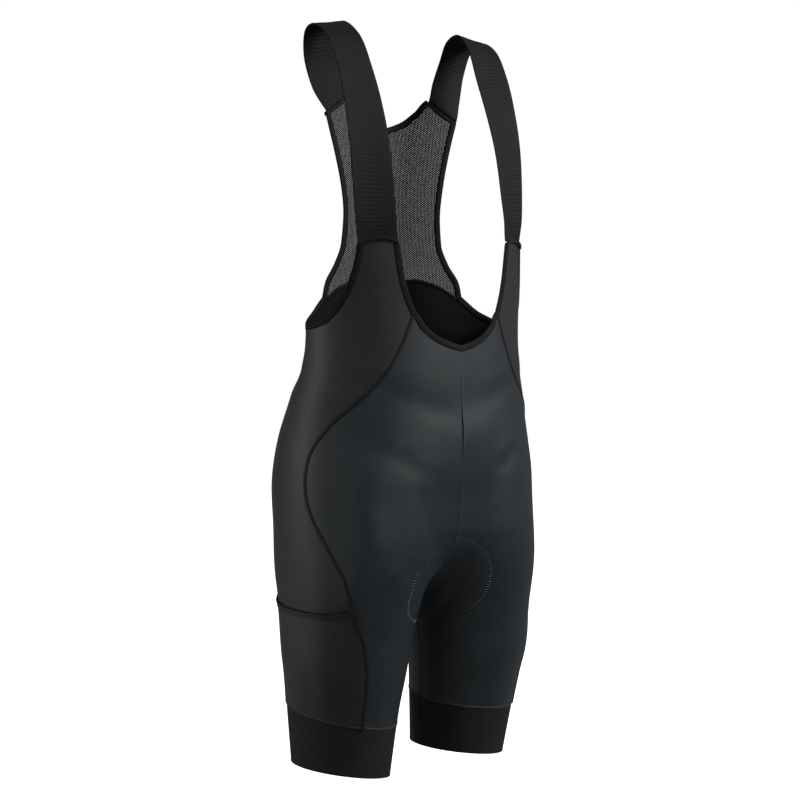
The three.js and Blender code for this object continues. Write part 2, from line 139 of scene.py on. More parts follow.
def curve(xs, ys):
    """Smooth curve through points, with no overshoot between them."""
    order = np.argsort(xs)
    xs, ys = np.asarray(xs, float)[order], np.asarray(ys, float)[order]
    steps = np.diff(ys) / np.diff(xs)
    product = steps[:-1] * steps[1:]
    total = np.where(product > 0, steps[:-1] + steps[1:], 1)
    slopes = np.concatenate([steps[:1], np.where(product > 0, 2 * product / total, 0), steps[-1:]])

    def at(x):
        x = np.clip(x, xs[0], xs[-1])
        i = np.clip(np.searchsorted(xs, x, side="right") - 1, 0, len(xs) - 2)
        width = xs[i + 1] - xs[i]
        t = (x - xs[i]) / width
        start = ys[i] * (1 + 2 * t) * (1 - t) ** 2 + slopes[i] * width * t * (1 - t) ** 2
        return start + ys[i + 1] * t * t * (3 - 2 * t) + slopes[i + 1] * width * t * t * (t - 1)

    return at


def columns(rows, key):
    """The curves of a table's other columns over one of them."""
    return {name: curve(rows[key], values) for name, values in rows.items() if name != key}


def mix(a, b, t):
    return a + (b - a) * t


def unit(v):
    return v / np.linalg.norm(v, axis=-1, keepdims=True)


def smooth(t):
    t = np.clip(t, 0, 1)
    return t * t * (3 - 2 * t)


shape = columns(SECTIONS, "z")
front_seam = columns(FRONT_SEAM, "z")["u"]
back_seam = columns(BACK_SEAM, "z")["u"]
top_edge = columns(TOP_EDGE, "u")["z"]
arm = columns(ARM, "t")
mesh_side = columns(MESH_SIDE, "t")
mesh_top = columns(MESH_TOP, "s")["z"]


def section(z):
    return {name: at(z) for name, at in shape.items()}


def field(x, y, s):
    """Below 0 inside the figure, above 0 outside it."""
    deep = np.where(y < s["mid_y"], s["front"], s["back"])
    depth = ((y - s["mid_y"]) / deep) ** 2 - 1
    own = ((x - s["leg_x"]) / s["half"]) ** 2 + depth
    other = ((x + s["leg_x"]) / s["half"]) ** 2 + depth
    blend = np.maximum(s["blend"], 1e-6)
    near = np.maximum(blend - np.abs(own - other), 0) / blend
    return np.minimum(own, other) - near * near * blend / 4


def joined(s):
    """Above 0 where the two legs are one body."""
    return 1 + s["blend"] / 4 - (s["leg_x"] / s["half"]) ** 2


def find_crotch(low=-760.0, high=-500.0):
    for _ in range(50):
        middle = (low + high) / 2
        low, high = (low, middle) if joined(section(middle)) > 0 else (middle, high)
    return high


CROTCH = find_crotch()


def bearing(u, z):
    """Angle round a leg's middle, from its front, of each u: the same scale above and below the crotch."""
    s = section(z)
    opening = np.sqrt(np.maximum(joined(s), 0))
    first = np.arctan2(-s["leg_x"], s["front"] * opening)
    last = np.pi + np.arctan2(s["leg_x"], s["back"] * opening)
    return mix(first, last, u)


def figure(u, z, side=1):
    """Points on the figure and the ways out of it."""
    u, z = np.broadcast_arrays(np.asarray(u, float), np.asarray(z, float))
    s, angle = section(z), bearing(u, z)
    dx, dy = np.sin(angle), -np.cos(angle)
    low, high = np.zeros_like(angle), np.full_like(angle, 260.0)
    for _ in range(34):
        reach = (low + high) / 2
        x = s["leg_x"] + dx * reach
        beyond = (x < 0) | (field(x, s["mid_y"] + dy * reach, s) > 0)
        high = np.where(beyond, reach, high)
        low = np.where(beyond, low, reach)
    x, y = np.maximum(s["leg_x"] + dx * high, 0), s["mid_y"] + dy * high
    e = 0.5
    slopes = [
        field(x + e, y, s) - field(x - e, y, s),
        field(x, y + e, s) - field(x, y - e, s),
        field(x, y, section(z + e)) - field(x, y, section(z - e)),
    ]
    out = np.stack(slopes, -1)
    return np.stack([x, y, z], -1) * (side, 1, 1), unit(out) * (side, 1, 1)


def leg_edge(level, u, side):
    """Height of a band seam or hem at u."""
    rise, inseam, front = LEG_EDGES[level][side]
    turn = 2 * np.pi * np.asarray(u, float)
    return level + rise + inseam * np.cos(turn) + front * np.sin(turn)


def leg_turn(level, side):
    return LEG_TURN * smooth((TURN_TOP - level) / (TURN_TOP - TURN_FOOT)) * (side == 1)


def at_front_seam(level, side):
    return front_seam(level) + leg_turn(level, side)


def at_back_seam(level, side):
    return back_seam(level) + leg_turn(level, side)


def row_height(level, u, side):
    """Height of a row: it follows the top edge above the waist and the band seam below mid thigh."""
    level, u = np.broadcast_arrays(level, u)
    upper = mix(top_edge(u) - SEAM / 2, WAIST, (TOP - level) / (TOP - WAIST))
    lower = level + (leg_edge(BAND, u, side) + SEAM / 2 - BAND) * smooth((THIGH - level) / (THIGH - BAND))
    return np.where(level > WAIST, upper, np.where(level < THIGH, lower, level))


# Soft troughs and ridges of the worn cloth: centre, half length, half width, height out (below 0 is a trough), turn
# in degrees from level, and bend of the line. side is -1 right, 1 left, 0 both.
CREASES = table(
    "side u z length width height turn bend",
    (-1, 0.265, -590, 100, 19, 4.2, 86, 0),
    (0, 0.02, -545, 60, 26, -2.0, 90, 0),
    (1, 0.1, -462, 70, 30, 1.3, 4, 0),
    (1, 0.16, -503, 22, 8, -1.1, 33, 0),
    (1, 0.155, -489, 20, 9, 0.8, 33, 0),
    (-1, 0.165, -500, 50, 10, -0.7, 28, 0.001),
    (-1, 0.33, -470, 50, 14, -0.8, 40, 0.001),
    (0, 0.075, -655, 42, 7, -1.1, 52, 0.002),
    (0, 0.12, -668, 55, 8, -1.0, 38, -0.002),
    (-1, 0.17, -640, 60, 10, 0.8, 30, 0.001),
    (1, 0.2, -648, 55, 9, 0.7, 26, 0.001),
    (0, 0.24, -705, 70, 11, -0.8, 12, 0.001),
    (-1, 0.1, -735, 40, 7, 0.7, 20, 0),
    (1, 0.13, -728, 44, 8, 0.6, 24, 0),
    (-1, 0.06, -520, 55, 12, -0.8, 72, 0),
    (1, 0.09, -530, 60, 12, -0.7, 66, 0),
    (0, 0.26, -560, 75, 13, 0.8, 60, 0.001),
    (-1, 0.18, -430, 60, 12, -0.7, 22, 0.001),
    (1, 0.15, -425, 55, 11, -0.7, 18, -0.001),
    (0, 0.45, -405, 60, 10, -0.9, 10, 0.001),
    (-1, 0.52, -425, 50, 9, 0.8, 14, 0),
    (1, 0.5, -432, 55, 10, 0.8, 8, 0),
    (0, 0.5, -640, 60, 12, -0.6, 84, 0),
    (0, 0.86, -664, 45, 8, -1.3, 155, 0.003),
    (0, 0.8, -686, 60, 9, -1.0, 165, 0.002),
    (-1, 0.9, -700, 34, 7, -0.8, 150, 0),
    (1, 0.88, -706, 36, 7, -0.8, 158, 0),
    (0, 0.74, -640, 60, 12, 0.8, 150, 0),
    (0, 0.93, -425, 45, 10, -1.0, 8, 0),
    (-1, 0.8, -412, 55, 10, -0.8, 172, 0.001),
    (1, 0.82, -418, 50, 11, -0.8, 176, 0),
    (0, 0.72, -770, 50, 10, -0.6, 170, 0),
    (0, 0.35, -775, 55, 11, -0.5, 6, 0),
)

# Stitched outline of the seat pad on the left half, from the centre front round to the centre back.
PAD_FRONT = table(
    "u z",
    (0, -591), (0.03, -595), (0.065, -602), (0.1, -612), (0.13, -626), (0.152, -641), (0.178, -658),
    (0.2, -671), (0.167, -684), (0.125, -689), (0.08, -691), (0, -692),
)
PAD_BACK = table(
    "u z",
    (1, -692), (0.93, -690), (0.88, -684), (0.845, -668), (0.85, -640), (0.87, -610), (0.9, -580), (0.94, -558),
    (1, -548),
)
PAD_TOP, PAD_FOOT = -530, -710
PAD_RISE, PAD_EASE = 0.5, 9
PAD_DENT, PAD_GROOVE = 0.45, 2.6
PAD_SHARE = {-1: 1.04, 1: 0.88}
PAD_BEYOND = -2.0, 5.2


def past_ends(points):
    """A line of points with one more beyond each end."""
    p = np.asarray(points, float)
    return np.concatenate([[2 * p[0] - p[1]], p, [2 * p[-1] - p[-2]]])


def spline(points, count):
    """Even points along a smooth line through points."""
    p = past_ends(points)
    t = np.linspace(0, 1, 24, endpoint=False)[:, None]
    fine = []
    for a, b, c, d in zip(p, p[1:], p[2:], p[3:]):
        fine.append((2 * b + (c - a) * t + (2 * a - 5 * b + 4 * c - d) * t**2 + (3 * b - a - 3 * c + d) * t**3) / 2)
    return evenly(np.concatenate([*fine, p[-2:-1]]), count)


def lengths(line):
    """Distance along a line of points, from 0."""
    return np.concatenate([[0], np.cumsum(np.linalg.norm(np.diff(line, axis=0), axis=1))])


def evenly(line, count):
    """A line of points divided into that many equal steps less one."""
    along = lengths(line)
    at = np.linspace(0, along[-1], count)
    return np.stack([np.interp(at, along, line[:, k]) for k in range(line.shape[1])], 1)


def pad_places(rows, side, count):
    """u and z along one half of the pad's outline. It sits a little to the wearer's right."""
    middle = rows["u"][0]
    u = middle + (rows["u"] - middle) * PAD_SHARE[side]
    flat = spline(np.stack([bearing(u, rows["z"]) * AROUND, rows["z"]], 1), count)
    angle, z = flat[:, 0] / AROUND, flat[:, 1]
    first, last = bearing(0.0, z), bearing(1.0, z)
    return np.clip((angle - first) / (last - first), 0, 1), z


def pad_line(rows, side, count=120):
    return figure(*pad_places(rows, side, count), side)[0]


PAD_RINGS = {side: np.concatenate([pad_line(PAD_FRONT, side), pad_line(PAD_BACK, side)]) for side in (-1, 1)}


def inside_loop(angle, z, rows, side):
    """True between the middle of the body and a line of the table."""
    u, ys = pad_places(rows, side, 60)
    xs = bearing(u, ys)
    beyond = PAD_BEYOND[0 if rows["u"][0] == 0 else 1]
    xs, ys = np.concatenate([[beyond], xs, [beyond, beyond]]), np.concatenate([ys[:1], ys, ys[-1:], ys[:1]])
    within = np.zeros(np.shape(z), bool)
    for i in range(len(xs) - 1):
        crosses = (ys[i] > z) != (ys[i + 1] > z)
        at = xs[i] + (z - ys[i]) * (xs[i + 1] - xs[i]) / (ys[i + 1] - ys[i] if ys[i + 1] != ys[i] else 1)
        within ^= crosses & (angle < at)
    return within


def relief(angle, z, side, points):
    """How far the worn cloth stands out of the figure."""
    out = np.zeros(np.shape(z))
    for at, u, level, length, width, height, turn, bend in zip(*CREASES.values()):
        if at in (0, side):
            cos, sin = math.cos(math.radians(turn)), math.sin(math.radians(turn))
            a, b = (angle - bearing(u, level)) * AROUND, z - level
            along = a * cos + b * sin
            across = b * cos - a * sin - bend * along**2
            out += height * np.exp(-((across / width) ** 2) - (along / length) ** 4)
    near = (z < PAD_TOP) & (z > PAD_FOOT)
    if near.any():
        ring = PAD_RINGS[side]
        away = np.full(np.shape(z), 99.0)
        gaps = points[near][:, None, :] - ring[None, ::2, :]
        away[near] = np.sqrt((gaps**2).sum(-1).min(1))
        within = inside_loop(angle, z, PAD_FRONT, side) | inside_loop(angle, z, PAD_BACK, side)
        out += np.where(within, PAD_RISE * smooth(away / PAD_EASE), 0) - PAD_DENT * np.exp(-((away / PAD_GROOVE) ** 2))
    return out


def worn(u, z, side, lift=0.0):
    """Points of the worn cloth, the ways out, and their places on the flat cloth in metres."""
    u, z = np.broadcast_arrays(np.asarray(u, float), np.asarray(z, float))
    points, out = figure(u, z, side)
    angle = bearing(u, z)
    rise = relief(angle, z, side, points)
    flat = np.stack([angle * AROUND * MM, z * MM], -1)
    return points + out * (rise + lift)[..., None], out, flat


def round_leg(points, side):
    s = section(points[..., 2])
    return np.arctan2(points[..., 0] * side - s["leg_x"], s["mid_y"] - points[..., 1])


def facing(u, z, side):
    """The way that the worn cloth faces, its creases included."""
    u, z = np.broadcast_arrays(np.asarray(u, float), np.asarray(z, float))
    points, out = figure(u, z, side)
    level = unit(np.cross(out, (0.0, 0.0, 1.0)))
    angle, here = bearing(u, z), round_leg(points, side)
    rise = relief(angle, z, side, points)
    slope = np.zeros_like(out)
    for way in (level, np.cross(level, out)):
        beside = points + way
        turned = (round_leg(beside, side) - here + np.pi) % (2 * np.pi) - np.pi
        slope += way * (relief(angle + turned, beside[..., 2], side, beside) - rise)[..., None]
    return unit(out - slope)


def steps(count, close=()):
    """Even steps from 0 to 1, with closer ones at both ends."""
    middle = np.linspace(0, 1, count + 1)[1:-1]
    close = np.array(close, float)
    middle = middle[(middle > max(close, default=0) * 1.2) & (middle < 1 - max(close, default=0) * 1.2)]
    return np.concatenate([[0], close, middle, 1 - close[::-1], [1]])


def grid_faces(numbers, ring=False):
    """Four-sided faces between rows of vertex numbers."""
    n = np.concatenate([numbers, numbers[:, :1]], 1) if ring else numbers
    return np.stack([n[:-1, :-1], n[:-1, 1:], n[1:, 1:], n[1:, :-1]], -1).reshape(-1, 4)


def make(name, points, faces, finish, flat=None, faces_out=True, ways=None, **values):
    """A smooth mesh in metres from points in millimetres. ways are its normals, if given, and values are numbers or
    vectors kept at each point."""
    points = np.asarray(points, float) * MM
    faces = np.asarray(faces)
    if faces_out:
        a, b, c = (points[faces[:, k]] for k in range(3))
        if np.einsum("ij,ij->i", a, np.cross(b, c)).sum() < 0:
            faces = faces[:, ::-1]
    mesh = bpy.data.meshes.new(name)
    mesh.from_pydata(points.tolist(), [], faces.tolist())
    mesh.shade_smooth()
    if flat is not None:
        corner = np.empty(len(mesh.loops), np.int32)
        mesh.loops.foreach_get("vertex_index", corner)
        layer = mesh.uv_layers.new(name="flat")
        layer.data.foreach_set("uv", np.asarray(flat, np.float32)[corner].ravel())
    for key, value in values.items():
        value = np.asarray(value, np.float32)
        kind, slot = ("FLOAT_VECTOR", "vector") if value.ndim == 2 else ("FLOAT", "value")
        mesh.attributes.new(key, kind, "POINT").data.foreach_set(slot, value.ravel())
    if ways is not None:
        mesh.normals_split_custom_set_from_vertices(ways.tolist())
    obj = bpy.data.objects.new(name, mesh)
    bpy.context.scene.collection.objects.link(obj)
    mesh.materials.append(finish)
    return obj


def shell(name, points, out, faces, wall, finish, flat, lift=0.0, rolled=0.35, ways=None, inside=None, **values):
    """A closed thin cloth between its outer face and 'wall' below it, with its edges rolled in.

    Vectors kept at its points turn round on the inner face, which takes the finish 'inside' if there is one."""
    count = len(points)
    start, end = faces, np.roll(faces, -1, axis=1)
    forward, backward = (start * count + end).ravel(), (end * count + start).ravel()
    rim = ~np.isin(forward, backward)
    a, b = start.ravel()[rim], end.ravel()[rim]
    edge = np.zeros(count)
    edge[a] = 1
    outer = points + out * (lift - edge * rolled * wall / 2)[:, None]
    inner = points + out * (lift - wall + edge * rolled * wall / 2)[:, None]
    walls = np.stack([b, a, a + count, b + count], 1)
    every = np.concatenate([faces, faces[:, ::-1] + count, walls])
    doubled = {key: np.concatenate([value, -value if np.ndim(value) == 2 else value]) for key, value in values.items()}
    both = np.concatenate([flat, flat])
    if ways is not None:
        ways = np.concatenate([ways, -ways])
    obj = make(name, np.concatenate([outer, inner]), every, finish, both, ways=ways, **doubled)
    if inside is not None:
        obj.data.materials.append(inside)
        back = np.zeros(len(every), np.int32)
        back[len(faces) : 2 * len(faces)] = 1
        obj.data.polygons.foreach_set("material_index", back)
    return obj


def grid_shell(name, points, out, flat, wall, finish, ring=False, **more):
    """A shell from a grid of points."""
    rows, across = points.shape[:2]
    faces = grid_faces(np.arange(rows * across).reshape(rows, across), ring)
    for key, value in more.items():
        if np.ndim(value) > 1:
            more[key] = value.reshape(rows * across, *value.shape[2:])
    return shell(name, points.reshape(-1, 3), out.reshape(-1, 3), faces, wall, finish, flat.reshape(-1, 2), **more)


def cloth(name, u, z, side, wall, finish, lift=0.0, **more):
    """A shell of worn cloth from a grid of u and z."""
    points, out, flat = worn(u, z, side, lift)
    if "inside" in more:
        points = part_at_centre(points, side)
    return grid_shell(name, points, out, flat, wall, FINISH[finish], ways=facing(u, z, side), **more)


CELL = 2.6
CLOSE = (0.006, 0.016)
HALF_SEAM = SEAM / 2 / GIRTH


def panel_levels():
    """Heights of a panel's rows, one of them at the crotch."""
    upper = TOP + (WAIST - TOP) * steps(24, (0.012, 0.032))
    middle = np.arange(WAIST - CELL, CROTCH + 2.2, -CELL)
    below = np.arange(CROTCH - CELL, THIGH, -CELL)
    lower = THIGH + (BAND - THIGH) * np.append(np.linspace(0, 1, 40)[:-2], [0.972, 0.986, 0.995, 1])
    near = CROTCH + np.array([1.4, 0.5, 0, -0.5, -1.4])
    return np.concatenate([upper, middle, near, below, lower])


LEVELS = panel_levels()


def panel_grid(side, across, left, right, levels=LEVELS):
    """u and z of a panel's rows between two seams."""
    u = mix(left(levels)[:, None], right(levels)[:, None], across[None, :])
    return u, row_height(levels[:, None], u, side)


def part_at_centre(points, side):
    """Keeps a panel half a seam off the middle."""
    low = np.abs(points[..., 0]) < SEAM / 2
    points[..., 0] = np.where(low, side * SEAM / 2, points[..., 0])
    return points


def below_crotch(levels):
    return np.where(levels <= CROTCH + 1e-6, HALF_SEAM, 0)


def front_panel(word, side):
    u, z = panel_grid(side, steps(50, CLOSE), below_crotch, lambda level: at_front_seam(level, side) - HALF_SEAM)
    return cloth(f"front_{word}", u, z, side, PANEL_WALL, "front", inside=FINISH["inside"])


def back_panel(word, side):
    def seam(level):
        return at_back_seam(level, side) + HALF_SEAM

    u, z = panel_grid(side, steps(46, CLOSE), seam, lambda level: 1 - below_crotch(level))
    return cloth(f"back_{word}", u, z, side, PANEL_WALL, "back", inside=FINISH["inside"])


ARM_FOOT = (0.435 - 0.2) / (0.612 - 0.2)
ARM_ACROSS = steps(30, CLOSE)
SIDE_ACROSS = np.concatenate([ARM_ACROSS * ARM_FOOT, ARM_FOOT + (1 - ARM_FOOT) * steps(24)[1:-1], [1 - 0.004, 1]])


def side_grid(side, levels=LEVELS):
    def front(level):
        return at_front_seam(level, side) + HALF_SEAM

    return panel_grid(side, SIDE_ACROSS, front, lambda level: at_back_seam(level, side) - HALF_SEAM, levels)


def arm_grid(t, s, side):
    """u and z on a bib arm: t from its foot up, s from the neck side to the armhole side."""
    u = mix(arm["neck_u"](t), arm["arm_u"](t), s)
    z = mix(arm["neck_z"](t), arm["arm_z"](t), s) + ARM_ARCH * np.sin(np.pi * s) * np.clip(4 * t - 3, 0, 1)
    foot_u = mix(front_seam(TOP) + HALF_SEAM, back_seam(TOP) - HALF_SEAM, ARM_FOOT * s)
    foot_z = mix(arm["neck_z"](0.0), arm["arm_z"](0.0), s)
    fade = (1 - t) ** 3
    u = u + (foot_u - mix(arm["neck_u"](0.0), arm["arm_u"](0.0), s)) * fade
    return u, z + (row_height(np.array(TOP), foot_u, side) - foot_z) * fade


def side_panel(word, side):
    """The side panel with its bib arm."""
    u, z = side_grid(side)
    rows, across = u.shape
    t = steps(32, (0.01, 0.025))[1:, None]
    arm_u, arm_z = arm_grid(t, ARM_ACROSS[None, :], side)
    numbers = np.arange(rows * across).reshape(rows, across)
    arm_numbers = rows * across + np.arange(arm_u.size).reshape(arm_u.shape)
    joined_rows = np.concatenate([numbers[:1, : len(ARM_ACROSS)], arm_numbers])
    faces = np.concatenate([grid_faces(numbers), grid_faces(joined_rows[::-1])])
    u, z = np.append(u, arm_u), np.append(z, arm_z)
    points, out, flat = worn(u, z, side)
    more = {"ways": facing(u, z, side), "inside": FINISH["inside"]}
    return shell(f"side_{word}", points, out, faces, PANEL_WALL, FINISH["side"], flat, **more)


def band(word, side):
    """The elastic leg band, a tube with a plain cut hem."""
    down = steps(24, (0.01, 0.03, 0.06))[:, None]
    u = np.linspace(0, 1, 181)[None, :-1]
    z = mix(leg_edge(BAND, u, side) - SEAM / 2, leg_edge(HEM, u, side), down)
    points, out, flat = worn(np.broadcast_to(u, z.shape), z, side)
    hem = 0.35 * np.exp(-(((1 - down) * 63 / 2.2) ** 2))
    return grid_shell(f"band_{word}", points + out * hem[..., None], out, flat, BAND_WALL, FINISH["band"], ring=True)


POCKET_LIFT = 1.15
POCKET_WALL = 0.8
MOUTH_OPEN = 1.3
HEM_DEPTH = 8.0
HEM_WALL = 0.45


def mouth_share(u, side):
    """Share of the way from the front seam to the back seam at the pocket's mouth."""
    start, end = at_front_seam(CROTCH, side), at_back_seam(CROTCH, side)
    return np.clip((u - start) / (end - start), 0, 1)


def mouth_lift(z, u, side):
    """The pocket's mouth stands a little open."""
    return MOUTH_OPEN * np.exp(-np.maximum(CROTCH - z, 0) / 7) * np.sin(np.pi * mouth_share(u, side)) ** 0.7


MOUTH_LINE = curve((0, 0.1, 0.22, 0.5, 0.84, 1), (5.5, 1.5, -1.5, -1.0, 0.0, 4.0))


def mouth_level(u, z, side):
    """Bends the pocket's upper rows to the line of its mouth."""
    return z + (MOUTH_LINE(mouth_share(u, side)) - 0.5) * smooth((z - CROTCH + 30) / 30)


def pocket(word, side):
    u, z = side_grid(side, np.append([CROTCH, CROTCH - 0.25], LEVELS[LEVELS < CROTCH - 0.4]))
    z = mouth_level(u, z, side)
    return cloth(f"pocket_{word}", u, z, side, POCKET_WALL, "pocket", POCKET_LIFT + mouth_lift(z, u, side))


def pocket_hem(word, side):
    """The folded tape along the pocket's mouth, with its upper edge rounded."""
    u, _ = side_grid(side, np.array([CROTCH]))
    down = steps(8, (0.03, 0.08))[:, None]
    u = np.broadcast_to(u, (len(down), u.shape[1]))
    z = mouth_level(u, CROTCH + 0.4 - HEM_DEPTH * down, side)
    near, far = (np.exp(-((share * HEM_DEPTH / 0.7) ** 2)) for share in (down, 1 - down))
    rounded = -0.5 * near - 0.35 * far
    lift = POCKET_LIFT + 0.5 + rounded + mouth_lift(z, u, side)
    return cloth(f"pocket_hem_{word}", u, z, side, HEM_WALL, "hem", lift)


def chordal(points, t):
    """A smooth line through points, evened by the root of their distances, at shares t of its parts."""
    p = past_ends(points)
    at = np.clip(t, 0, 1) * (len(p) - 3)
    i = np.minimum(at.astype(int), len(p) - 4)
    w = (at - i)[:, None]
    a, b, c, d = (p[i + k] for k in range(4))
    before, own, after = (np.linalg.norm(m - n, axis=1)[:, None] ** 0.5 for m, n in ((b, a), (c, b), (d, c)))
    start = ((b - a) / before - (c - a) / (before + own) + (c - b) / own) * own
    end = ((c - b) / own - (d - b) / (own + after) + (d - c) / after) * own
    return b + start * w + (-3 * b + 3 * c - 2 * start - end) * w**2 + (2 * b - 2 * c + start + end) * w**3


STRAP_CROWN, STRAP_CROWN_BACK = 2.0, 0.5
END_SEAM = 0.6


def strap_edge(name, t):
    middle = np.stack([STRAP[f"{name}_{axis}"] for axis in "xyz"], 1)
    foot, back = (figure(*place[name])[0] for place in (STRAP_FOOT, STRAP_BACK))
    return chordal(np.concatenate([foot[None], middle, back[None]]), t)


def strap_grid(side, count, across):
    """Points of a strap in even rows from its foot over the shoulder, the ways out, and the distance along it."""
    t = np.linspace(0, 1, 1201)
    middle = (strap_edge("arm", t) + strap_edge("neck", t)) / 2
    along = lengths(middle)
    t = np.interp(np.linspace(0, along[-1], count), along, t)
    a, b = strap_edge("arm", t), strap_edge("neck", t)
    ahead = unit(np.gradient(a, axis=0) + np.gradient(b, axis=0))
    out = unit(np.cross(b - a, ahead))
    bow = np.sin(np.pi * across)[None, :, None]
    ends = np.clip(1 - t * 34, 0, 1)[:, None]
    points = mix(a[:, None], b[:, None], across[None, :, None])
    points = points + out[:, None] * (mix(STRAP_CROWN, STRAP_CROWN_BACK, t)[:, None, None] * bow)
    points[..., 2] += ARM_ARCH * bow[..., 0] * ends + END_SEAM * (ends + np.clip(t * 34 - 33, 0, 1)[:, None])
    out = np.broadcast_to(out[:, None], points.shape)
    return points * (side, 1, 1), out * (side, 1, 1), np.linspace(0, along[-1], count)


STRAP_LAP = 2.15
LAP_EASE = 30.0
LAP_INSET = 0.013


def foot_lap(down, across, side):
    """u and z where a strap lies over its bib arm and the bindings, 'down' below the arm's top."""
    t = 1 - down / 90
    (arm_u, arm_z), (neck_u, neck_z) = arm_grid(t, 1.0, side), arm_grid(t, 0.0, side)
    z = mix(arm_z, neck_z, across) + 1.7 * ARM_ARCH * np.sin(np.pi * across)
    return mix(arm_u + LAP_INSET, neck_u - LAP_INSET, across), z


def back_lap(down, across, _side):
    """u and z where a strap lies over the outside of the net, the same on both sides."""
    (arm_u, arm_z), (neck_u, neck_z) = STRAP_BACK["arm"], STRAP_BACK["neck"]
    return np.broadcast_arrays(mix(arm_u, neck_u, across), mix(arm_z, neck_z, across) - down)


def strap(side, finish):
    """The elastic strap, plain, with both ends lapped over the cloth; its ribs are raised afterwards."""
    across = steps(16, (0.02,))
    points, out, along = strap_grid(side, 780, across)
    rise = STRAP_LAP * (smooth(1 - along / LAP_EASE) + smooth(1 - (along[-1] - along) / LAP_EASE))
    points = points + out * rise[:, None, None]
    foot, back = np.linspace(5, 0.5, 10), np.linspace(0.5, 5, 10)
    start = worn(*foot_lap(foot[:, None], across[None, :], side), side, STRAP_LAP)[:2]
    end = worn(*back_lap(back[:, None], across[None, :], side), side, STRAP_LAP)[:2]
    points, out = (np.concatenate([first, middle, last]) for first, middle, last in zip(start, (points, out), end))
    along = np.concatenate([-foot, along, along[-1] + back])
    flat = np.stack(np.broadcast_arrays(across[None, :] * 47 * MM, along[:, None] * MM), -1)
    kept = {"along": along[:, None], "across": across[None, :]}
    kept = {key: np.broadcast_to(value, points.shape[:2]) for key, value in kept.items()}
    return grid_shell("plain_strap", points, out, flat, STRAP_WALL, finish, rolled=0.5, out_way=out, **kept)


def strap_stitches():
    """Two rows of stitches across each end of the straps."""
    rows = []
    across = np.linspace(0.06, 0.94, 40)
    for side in (-1, 1):
        for lap in (foot_lap, back_lap):
            for down in (1.2, 3.6):
                rows.append(running(*worn(*lap(down, across, side), side, STRAP_LAP)[:2], 2.4))
    return rows


def on_line(u, z, side, step=2.2):
    """An even line on the worn cloth through (u, z) points, with the ways out of it."""
    u, z = np.asarray(u, float), np.asarray(z, float)
    rough = lengths(figure(u, z, side)[0])
    along = np.linspace(0, rough[-1], max(int(rough[-1] / step), 2))
    points, out, _ = worn(np.interp(along, rough, u), np.interp(along, rough, z), side)
    return points, out


TAPE_WIDTH = 0.008


def across_line(points, out):
    return unit(np.cross(np.gradient(points, axis=0), out))


def tube(name, points, out, away, profile, finish, closed=False):
    """A body of one section, given as (across, out) pairs, along a line; an open line's ends are closed by fans."""
    rings = points[:, None] + away[:, None] * profile[None, :, :1] + out[:, None] * profile[None, :, 1:]
    rows, count = rings.shape[:2]
    numbers = np.arange(rows * count).reshape(rows, count)
    if closed:
        numbers = np.concatenate([numbers, numbers[:1]])
    faces = grid_faces(numbers, ring=True).tolist()
    if not closed:
        last = (rows - 1) * count
        for i in range(count // 2 - 1):
            fan = [i, i + 1, count - 2 - i, count - 1 - i]
            faces += [fan[::-1], [last + k for k in fan]]
    along = lengths(points)[:, None] * MM
    spread = np.broadcast_to(np.linspace(0, 1, count)[None, :] * TAPE_WIDTH, (rows, count))
    flat = np.stack([spread, np.broadcast_to(along, (rows, count))], -1).reshape(-1, 2)
    return make(name, rings.reshape(-1, 3), faces, finish, flat)


def flat_seam(width, height, sunk=0.5):
    """Section of a flat seam: a low crown with a plain underside."""
    half = width / 2
    top = [(half * math.cos(a), height * math.sin(a) ** 0.8) for a in np.linspace(0.12, math.pi - 0.12, 8)]
    return np.array([(half, -sunk), *top, (-half, -sunk)])


BINDING_WIDTH = 6.4
BINDING_PROUD = 0.5
BINDING_ROWS = 1.3, 2.4


def folded_tape():
    """Section of a binding folded over a cloth's edge, from the cloth outwards."""
    width, proud, low = BINDING_WIDTH, BINDING_PROUD, -PANEL_WALL - BINDING_PROUD
    top = [(-0.9, proud - 0.12), (0.6, proud + 0.03), (1.5, proud - 0.1), (2.6, proud + 0.05), (width - 0.9, proud)]
    fold = [(width - 0.15, proud - 0.5), (width + 0.1, (proud + low) / 2), (width - 0.15, low + 0.5)]
    return np.array([*top, *fold, (width - 0.9, low), (2.6, low), (0.6, low), (-0.9, low + 0.12)])


def binding(name, points, out, turn, first_away, last_away):
    """A binding beside an edge. turn picks its side of the line; its ends follow the rows that end there."""
    even = evenly(np.concatenate([points, out], 1), max(int(lengths(points)[-1] / 2.0), 8))
    points, out = even[:, :3], unit(even[:, 3:])
    away = across_line(points, out) * turn
    reach = lengths(points)
    for row, from_end in ((first_away, reach), (last_away, reach[-1] - reach)):
        share = smooth(1 - from_end / 6)[:, None]
        away = unit(away * (1 - share) + unit(row) * share)
    obj = tube(name, points, out, away, folded_tape(), FINISH["binding"])
    return obj, points, out, away


def connect(tree, value, socket):
    """Links a node's output to a socket, or sets a plain value there."""
    value = getattr(value, "socket", value)
    if isinstance(value, bpy.types.NodeSocket):
        tree.links.new(value, socket)
    else:
        socket.default_value = value


def add_node(tree, kind, settings, values, sockets):
    """A node with its settings and its inputs by place or by name, with _ for a space."""
    node = tree.nodes.new(kind)
    for key, value in dict(settings).items():
        setattr(node, key, value)
    for i, value in enumerate(values):
        connect(tree, value, node.inputs[i])
    for key, value in sockets.items():
        connect(tree, value, node.inputs[key.replace("_", " ")])
    return node


